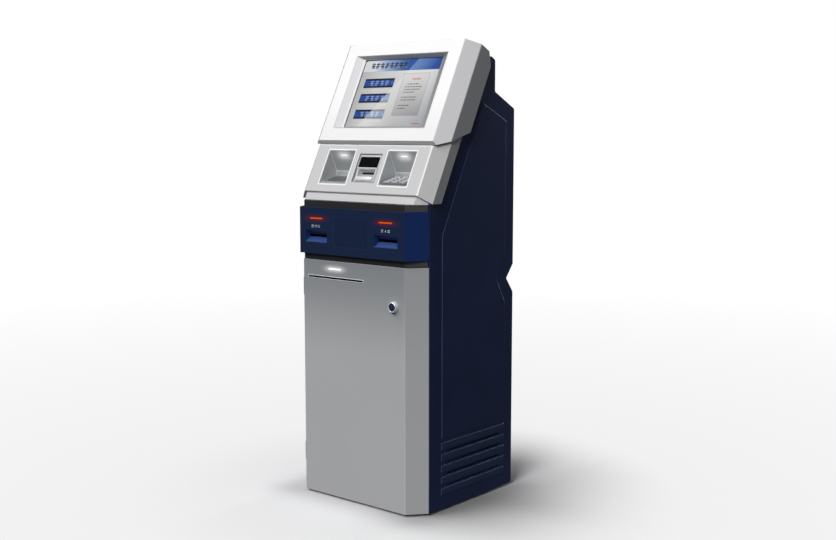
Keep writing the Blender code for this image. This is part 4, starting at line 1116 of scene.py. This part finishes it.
# dark bead round the glass, strips of painted shade along its right and lower edges, and the clear
# cover
piece("screen_gasket",
      ring(bmesh.new(), rounded(0, 0, GLASS_W + 0.0004, GLASS_H + 0.0004, 0.0012),
           rounded(0, 0, GLASS_W - 0.0030, GLASS_H - 0.0030, 0.0085),
           PICTURE_FOOT, 0.0014, PICTURE),
      "dark_sealing_bead", "head")
screen_trim("screen_right_shade_strip", "recess_paint_right",
            rect(GLASS_W / 2 - 0.0024, 0, 0.0046, GLASS_H - 0.0006), 0.0005, 0.0018, edge=0.0004)
screen_trim("screen_bottom_shade_strip", "recess_paint_bottom",
            rect(-0.0026, -GLASS_H / 2 + 0.0022, GLASS_W - 0.0058, 0.0040), 0.0005, 0.0018,
            edge=0.0004)
screen_trim("screen_cover", "screen_cover_sheen",
            rounded(0, 0, GLASS_W - 0.0032, GLASS_H - 0.0032, 0.0083), 0.0004, 0.0007)

# ------------------------------------------------------------------ keypad
KEY_W, KEY_L, KEY_CORNER = 0.0240, 0.0120, 0.0016
KEY_PITCH_X, KEY_PITCH_Y = 0.0320, 0.0172
KEY_LABELS = ("1", "2", "3", "4", "5", "6", "7", "8", "9", "cancel", "0", "enter")
SIGN_FOOT, SIGN_TOP = 0.0099, 0.0102


def digit_mesh(text, matrix):
    curve = bpy.data.curves.new("digit", "FONT")
    curve.body = text
    curve.size = 0.0085
    curve.align_x = "CENTER"
    curve.align_y = "CENTER"
    curve.extrude = 0.00012
    curve.resolution_u = 4
    ob = add_object("digit", curve)
    evaluated = ob.evaluated_get(bpy.context.evaluated_depsgraph_get())
    mesh = bpy.data.meshes.new_from_object(evaluated)
    bpy.data.objects.remove(ob)
    bpy.data.curves.remove(curve)
    mesh.transform(matrix)
    return mesh


def cross_sign(x, y):
    """Two crossed bars, one a hair higher than the other."""
    bm = bmesh.new()
    half = math.radians(45)
    for turn in (-1, 1):
        cos, sin = math.cos(half), turn * math.sin(half)
        bar = [(a * cos - b * sin + x, a * sin + b * cos + y)
               for a, b in rect(0, 0, 0.0068, 0.0012)]
        slab(bm, bar, SIGN_FOOT, SIGN_TOP + 0.00002 * turn, KEYPAD)
    return bm


def add_key(label, x, y):
    body = "key_" + label
    cap = slab(bmesh.new(), rounded(x, y, KEY_W, KEY_L, KEY_CORNER, 4), 0.0046, 0.0094, KEYPAD)
    slab(cap, rounded(x, y, KEY_W - 0.0002, KEY_L - 0.0002, KEY_CORNER, 4), 0.0093, 0.0100,
         KEYPAD, edge=0.0007, segments=3)
    piece(body + "_cap", cap, "key_satin_steel", body, body, smooth=50)
    if label.isdigit():
        mesh = digit_mesh(label, KEYPAD @ Matrix.Translation((x, y, 0.0101)))
        mesh.materials.append(MATERIALS["mark_black"])
        keep(add_object(body + "_digit", mesh), body)
    elif label == "cancel":
        piece(body + "_sign", cross_sign(x, y), "mark_red", body)
    else:
        sign = ring(bmesh.new(), disc(x, y, 0.0034), disc(x, y, 0.0024), SIGN_FOOT, SIGN_TOP,
                    KEYPAD)
        piece(body + "_sign", sign, "mark_green", body)


for i, label in enumerate(KEY_LABELS):
    row, column = divmod(i, 3)
    add_key(label, (column - 1) * KEY_PITCH_X, (4 - row) * KEY_PITCH_Y)

screws = bmesh.new()
for sign in (-1, 1):
    for y in (0.0105, 0.0765):
        screw(screws, KEYPAD @ Vector((sign * 0.0505, y, 0.0076)), X_AXIS.cross(BAY_UP), 0.0018)
piece("pin_pad_screws", screws, "zinc_plated_sheet", "cabinet", smooth=40)

# ------------------------------------------------------------------ scanner window and bay trims
SCANNER_Y = 0.0430  # middle of the window up the bay floor

piece("scanner_rim",
      ring(bmesh.new(), rounded(0, SCANNER_Y, 0.1040, 0.0740, 0.0030),
           rounded(0, SCANNER_Y, 0.0964, 0.0672, 0.0022), 0.0003, 0.0040, SCANNER),
      "silver_moulding", "cabinet")

ticks = bmesh.new()
for sx in (-1, 1):
    for sy in (-1, 1):
        x, y = sx * 0.0400, SCANNER_Y + sy * 0.0260
        slab(ticks, rect(x - sx * 0.0035, y, 0.0070, 0.0008), 0.0033, 0.00355, SCANNER)
        slab(ticks, rect(x, y - sy * 0.0035, 0.0008, 0.0070), 0.0033, 0.00353, SCANNER)
piece("scanner_corner_marks", ticks, "mark_white", "cabinet")

# partly real trim: rings round the bay openings cover the seam to the liners; their near-white is
# a painted highlight
for side, sign in SIDES.items():
    piece("bay_highlight_trim_" + side,
          ring(bmesh.new(), rounded(sign * BAY_X, 0.0895, 0.1262, 0.1292, 0.0040, 4),
               rounded(sign * BAY_X, 0.0895, 0.1190, 0.1220, 0.0020, 4), -0.0012, 0.0004, CONSOLE),
          "bay_rim_painted_highlight", "cabinet")

# ------------------------------------------------------------------ card reader
# section of the lip below the card slit: distance up the console, height before sinking
LIP_SECTION = [(0.0455, -0.0035), (0.0455, 0.0005), (0.0480, 0.0022), (0.0530, 0.0026),
               (0.0580, 0.0016), (0.0610, -0.0010), (0.0625, -0.0040)]
LIP_HALF_W = 0.0340
LIP_SINK = 0.0030
WINDOW_MIDDLE = (0.0884 + 0.1341) / 2


def reader_lip():
    bm = bmesh.new()
    rows = []
    shoulder = LIP_HALF_W - 0.0015
    for x, rise in ((-LIP_HALF_W, 0.0), (-shoulder, 0.0006), (shoulder, 0.0006),
                    (LIP_HALF_W, 0.0)):
        rows.append([bm.verts.new(CONSOLE @ Vector((x, y, z - LIP_SINK + (rise if z > 0 else 0))))
                     for y, z in LIP_SECTION])
    spans = list(zip(rows, rows[1:]))
    for a, b in spans:
        for i in range(len(LIP_SECTION) - 1):
            bm.faces.new((a[i], b[i], b[i + 1], a[i + 1]))
    bm.faces.new(rows[0])
    bm.faces.new(list(reversed(rows[-1])))
    for a, b in spans:
        bm.faces.new((a[0], a[-1], b[-1], b[0]))
    return bm


piece("card_reader_lip", reader_lip(), "silver_moulding_lip", "cabinet",
      smooth=50)
piece("card_reader_window_rim",
      ring(bmesh.new(), rounded(0, WINDOW_MIDDLE, 0.0900, 0.0480, 0.0030),
           rounded(0, WINDOW_MIDDLE - 0.0012, 0.0840, 0.0370, 0.0028), -0.0060, -0.0028, CONSOLE),
      "silver_moulding", "cabinet")
piece("card_slit_shutter",
      slab(bmesh.new(), rect(0, 0.0764, 0.0556, 0.0064), -0.0184, -0.0176, CONSOLE),
      "mark_black", "cabinet")

# ------------------------------------------------------------------ band: slots, icons, outline
SLOT_X = 0.1510
ICON_Z = 0.9024
ICON_FOOT, ICON_TOP = -0.0002, 0.00025


def band_icon(x, left):
    """From left to right: a small framed sheet, an arrow and three bars, centred near x."""
    bm = bmesh.new()
    sheet_x = x - 0.0140
    bars_x = x + 0.0130
    down = -1 if left else 1  # the right arrow points down and the left one up

    def mark(outline, top=ICON_TOP):
        slab(bm, outline, ICON_FOOT, top, BAND)

    def sheet(width, height, outer_radius, inner_radius, line):
        ring(bm, rounded(sheet_x, ICON_Z, width, height, outer_radius, 3),
             rounded(sheet_x, ICON_Z, width - line, height - line, inner_radius, 3),
             ICON_FOOT, ICON_TOP, BAND)

    if left:
        sheet(0.0110, 0.0076, 0.0010, 0.0006, line=0.0016)
        mark(rect(sheet_x, ICON_Z + 0.0012, 0.0094, 0.0012))
    else:
        sheet(0.0070, 0.0088, 0.0008, 0.0004, line=0.0014)
        for k in range(3):
            mark(rect(sheet_x, ICON_Z + 0.0020 - 0.0020 * k, 0.0036, 0.0006))
    mark(rect(x, ICON_Z + down * 0.0015, 0.0014, 0.0046))
    head_z = ICON_Z - down * 0.0006
    mark([(x - 0.0030, head_z), (x + 0.0030, head_z), (x, ICON_Z - down * 0.0042)], top=0.00028)
    mark(rect(bars_x, ICON_Z - 0.0030, 0.0110, 0.0012))
    mark(rect(bars_x, ICON_Z + 0.0004, 0.0070, 0.0010))
    mark(rect(bars_x, ICON_Z + 0.0032, 0.0110, 0.0010))
    return bm


for side, sign in SIDES.items():
    x = sign * SLOT_X
    piece("slot_shutter_" + side,
          slab(bmesh.new(), rect(x + 0.0060, 0.8698, 0.0800, 0.0046), -0.0125, -0.0112, FRONT),
          "mark_black", "cabinet")
    piece("band_icon_" + side, band_icon(x, side == "left"), "mark_white", "cabinet")

# painted highlight: a thin light line round the centre plate
piece("band_plate_outline",
      ring(bmesh.new(), rounded(0, 0.8880, 0.1462, 0.0962, 0.0098, 6),
           rounded(0, 0.8880, 0.1440, 0.0940, 0.0088, 6), -0.0003, 0.0003, BAND),
      "band_outline_painted_highlight", "cabinet")

# ------------------------------------------------------------------ blue line on the side panels
LINE_INNER_X, LINE_OUTER_X = 0.2690, 0.26965
LINE_WIDTH, LINE_GAP = 0.0022, 0.0002


def edge_line_outline():
    """The line's outline in (y, z), from the top of the head down to the floor."""
    def head_back(up):
        point = HEAD_ORIGIN - SLOPE_OUT * 0.0650 + SLOPE * up
        return Vector((point.y, point.z))

    path = [head_back(0.3440), head_back(-0.1830),
            Vector((0.0607 - MID_DEPTH, 0.9830)), Vector((0.0607 - MID_DEPTH, 0.0100))]
    fore, rear = [], []
    for i, point in enumerate(path):
        run = (path[min(i + 1, len(path) - 1)] - path[max(i - 1, 0)]).normalized()
        rearward = Vector((-run.y, run.x))
        if rearward.x < 0:
            rearward = -rearward
        fore.append(tuple(point + rearward * LINE_GAP))
        rear.append(tuple(point + rearward * (LINE_GAP + LINE_WIDTH)))
    return fore + rear[::-1]


for side, sign in SIDES.items():
    lo, hi = sorted((sign * LINE_INNER_X, sign * LINE_OUTER_X))
    piece("side_edge_line_" + side,
          slab(bmesh.new(), edge_line_outline(), lo, hi, plane(Y_AXIS, Z_AXIS, Vector((0, 0, 0)))),
          "blue_edge_paint", "cabinet")


# ------------------------------------------------------------------ statement slot
def add_statement_slot():
    """Black lips round the slit, and behind it a black sheet of painted shade for the dark inside.
    """
    lo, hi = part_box("statement_slot_bezel")
    width = hi.x - lo.x
    face = front_plane(lo.y, (lo.x + hi.x) / 2, (lo.z + hi.z) / 2)
    lips = ring(bmesh.new(), rounded(0, 0, width - 0.0052, 0.0058, 0.0020, 4),
                rounded(0, 0, width - 0.0110, 0.0022, 0.0009, 4), -0.0004, 0.0002, face)
    piece("statement_slot_lips", lips, "mark_black", "door")
    throat = slab(bmesh.new(), rounded(0, 0, width - 0.0064, 0.0048, 0.0010, 4),
                  -0.0050, -0.0040, face)
    piece("statement_slot_shade_sheet", throat, "mark_black", "door")


add_statement_slot()

# ------------------------------------------------------------------ rear
REAR_Y = 0.5008 - MID_DEPTH
REAR_SCREW_R = 0.0034
HOOD_TOP = Vector((0, 0.3962 - MID_DEPTH, 1.3345))
HOOD_FOOT = Vector((0, 0.4985 - MID_DEPTH, 1.2835))

screws = bmesh.new()
for sign in (-1, 1):
    for z in (0.035, 0.240, 0.445, 0.650, 0.790, 0.950, 1.110, 1.255):
        screw(screws, Vector((sign * 0.2500, REAR_Y, z)), Y_AXIS, REAR_SCREW_R)
for z in (0.035, 0.650, 0.790, 1.255):
    screw(screws, Vector((0, REAR_Y, z)), Y_AXIS, REAR_SCREW_R)
piece("rear_panel_screws", screws, "zinc_plated_sheet", "cabinet", smooth=40)

screws = bmesh.new()
rise = (HOOD_TOP - HOOD_FOOT).normalized()
hood_out = Vector((0, rise.z, -rise.y))
for sign in (-1, 0, 1):
    screw(screws, (HOOD_TOP + HOOD_FOOT) / 2 + X_AXIS * sign * 0.24 + hood_out * 0.0001,
          hood_out, REAR_SCREW_R)
piece("rear_hood_screws", screws, "zinc_plated_sheet", "cabinet", smooth=40)

# power inlet low on the rear, drawn from its middle and facing back
INLET = plane(-X_AXIS, Z_AXIS, Vector((0.1900, REAR_Y, 0.1200)))
SOCKET = [(-0.0120, -0.0090), (0.0120, -0.0090), (0.0120, 0.0050), (0.0080, 0.0090),
          (-0.0080, 0.0090), (-0.0120, 0.0050)]

piece("power_inlet",
      slab(bmesh.new(), rounded(0, 0, 0.0500, 0.0320, 0.0030, 4), -0.0004, 0.0016, INLET,
           edge=0.0006),
      "black_moulding", "cabinet")
piece("power_inlet_socket", slab(bmesh.new(), SOCKET, 0.0014, 0.00175, INLET), "mark_black",
      "cabinet")
pins = bmesh.new()
for x, z in ((-0.0060, -0.0030), (0.0, 0.0020), (0.0060, -0.0030)):
    slab(pins, rect(x, z, 0.0016, 0.0042), 0.0015, 0.0022, INLET)
piece("power_inlet_pins", pins, "brushed_steel_keypad", "cabinet")


# ------------------------------------------------------------------ equipment behind the door
def front_face(node):
    """The front plane of a node's box, centred in x, with z kept from the floor."""
    lo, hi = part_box(node)
    return front_plane(lo.y, (lo.x + hi.x) / 2)


def add_computer_detail():
    """Twelve raised bars, two raised plates and a round button."""
    face = front_face("computer")
    bm = bmesh.new()
    for k in range(12):
        slab(bm, rounded(0, 0.045 + 0.012 * k, 0.078, 0.0045, 0.0020, 3), -0.0004, 0.0010, face)
    for z in (0.290, 0.260):
        slab(bm, rounded(0, z, 0.086, 0.022, 0.0020, 3), -0.0004, 0.0018, face, edge=0.0005)
    slab(bm, disc(0.030, 0.218, 0.0060), -0.0004, 0.0020, face, edge=0.0005)
    piece("computer_front_detail", bm, "grey_moulding", "cabinet", smooth=40)


def add_cassette_detail():
    """Two round bosses and three raised ribs."""
    face = front_plane(0.1300 - MID_DEPTH)
    bm = bmesh.new()
    for x in (-0.060, 0.110):
        slab(bm, disc(x, 0.155, 0.0085, 28), -0.0004, 0.0040, face, edge=0.0008)
    for z in (0.035, 0.060, 0.085):
        slab(bm, rounded(0.025, z, 0.200, 0.008, 0.0038, 4), -0.0004, 0.0014, face, edge=0.0010)
    piece("cassette_front_detail", bm, "brushed_steel_keypad", "cassette",
          smooth=40)


def add_printer_detail():
    """A raised plate with three buttons."""
    face = front_face("statement_printer")
    z = 0.6950
    bm = slab(bmesh.new(), rounded(0, z, 0.150, 0.030, 0.0030, 4), -0.0004, 0.0016, face,
              edge=0.0006)
    for x in (-0.06, -0.045, -0.03):
        slab(bm, disc(x, z, 0.0035, 18), 0.0014, 0.0024, face, edge=0.0004)
    piece("printer_front_detail", bm, "black_moulding", "cabinet", smooth=40)


def add_display_detail():
    """Nine upright bars and a square plate on the back of the display."""
    back = plane(-X_AXIS, SLOPE, HEAD_ORIGIN)
    bm = bmesh.new()
    for k in range(9):
        slab(bm, rounded(-0.110 + 0.0275 * k, 0.240, 0.006, 0.070, 0.0028, 3), 0.0559, 0.0564,
             back)
    slab(bm, rounded(0, 0.120, 0.100, 0.100, 0.0040, 4), 0.0559, 0.0590, back, edge=0.0008)
    piece("display_rear_detail", bm, "black_moulding", "head", smooth=40)


add_computer_detail()
add_cassette_detail()
add_printer_detail()
add_display_detail()

# CAD nodes without a material of their own are zinc
for ob in NODES.values():
    if not ob.data.materials:
        ob.data.materials.append(MATERIALS["zinc_plated_sheet"])


# ------------------------------------------------------------------ stage
def floor_paint():
    """Pale floor, lit near the cabinet and turning to plain white light further out."""
    net = Net("floor_pale")
    distance = net.vector("LENGTH", net.coords)
    far = net.span(distance, (0.35, 0.98), smooth=True)
    # contact shade round the cabinet, and a wider shade to its left
    contact = net.times(net.spot((0, 0, 0), half=(0.262, 0.235, 1), fade=0.085), 0.34)
    cast = net.spot((-0.35, -0.015, 0), half=(0.650, 0.065, 1), fade=(0.30, 0.20, 1))
    beside = net.times(cast, net.span(net.xyz()["X"], (0.02, 0.28), (0.0, 0.50), smooth=True))
    soft = net.times(net.calc("SUBTRACT", 1.0, contact), net.calc("SUBTRACT", 1.0, beside))
    tone = net.combine([net.times(soft, level) for level in (0.920, 0.922, 0.930)])
    net.surface({"Base Color": tone, "Specular IOR Level": 0.0,
                 "Roughness": net.span(net.noise(6.0), (0.3, 0.7), (0.60, 0.70))})
    net.bump(net.noise(200.0), strength=0.02, distance=0.0002)
    light = net.times(soft, net.span(distance, (0.8, 5.0), (0.875, 1.0)))
    seen = net.mix_shader(far, net.bsdf.outputs[0], net.emission((1, 1, 1), light))
    # only the camera sees this floor; to every other ray it is a dim grey light
    is_camera = net.node("ShaderNodeLightPath").outputs["Is Camera Ray"]
    surface = net.mix_shader(is_camera, net.emission((0.10, 0.10, 0.11)), seen)
    net.feed(net.out.inputs["Surface"], surface)


def add_floor():
    floor_paint()
    bm = bmesh.new()
    bmesh.ops.create_grid(bm, x_segments=2, y_segments=2, size=60.0)
    mesh_object("floor", bm, "floor_pale")


def add_world():
    """White to the camera, dim grey light to everything else."""
    world = bpy.data.worlds.new("studio")
    world.use_nodes = True
    nodes, links = world.node_tree.nodes, world.node_tree.links
    dim = nodes["Background"]
    dim.inputs["Color"].default_value = (0.090, 0.090, 0.092, 1)
    dim.inputs["Strength"].default_value = 1.0
    white = nodes.new("ShaderNodeBackground")
    white.inputs["Color"].default_value = (1, 1, 1, 1)
    white.inputs["Strength"].default_value = 1.0
    mix = nodes.new("ShaderNodeMixShader")
    links.new(nodes.new("ShaderNodeLightPath").outputs["Is Camera Ray"], mix.inputs[0])
    links.new(dim.outputs[0], mix.inputs[1])
    links.new(white.outputs[0], mix.inputs[2])
    links.new(mix.outputs[0], nodes["World Output"].inputs["Surface"])
    SCENE.world = world


def add_sun(name, azimuth, elevation, strength, spread):
    """A wide soft source; azimuth 0 is straight in front, positive to the object's right."""
    light = bpy.data.lights.new(name, "SUN")
    light.energy = strength
    light.angle = math.radians(spread)
    ob = add_object(name, light)
    turn, rise = math.radians(azimuth), math.radians(elevation)
    towards = Vector((math.cos(rise) * math.sin(turn), -math.cos(rise) * math.cos(turn),
                      math.sin(rise)))
    ob.rotation_euler = (-towards).to_track_quat("-Z", "Y").to_euler()
    ob.location = towards * 6


def add_camera():
    data = bpy.data.cameras.new("camera")
    data.sensor_width = 36.0
    data.lens = 50.432727
    camera = add_object("camera", data)
    camera.location = (2.5474, -2.7092 - MID_DEPTH, 1.2152)
    camera.rotation_euler = (math.radians(90 - 6.85), 0, math.radians(40.012))
    SCENE.camera = camera


add_floor()
add_world()
add_sun("key", azimuth=14, elevation=35, strength=0.60 * math.pi, spread=25)
add_sun("left_fill", azimuth=-35, elevation=50, strength=0.50 * math.pi, spread=35)
add_sun("rear_fill", azimuth=180, elevation=8, strength=0.35 * math.pi, spread=6)
add_camera()
SCENE.view_settings.view_transform = "Standard"
SCENE.view_settings.look = "None"
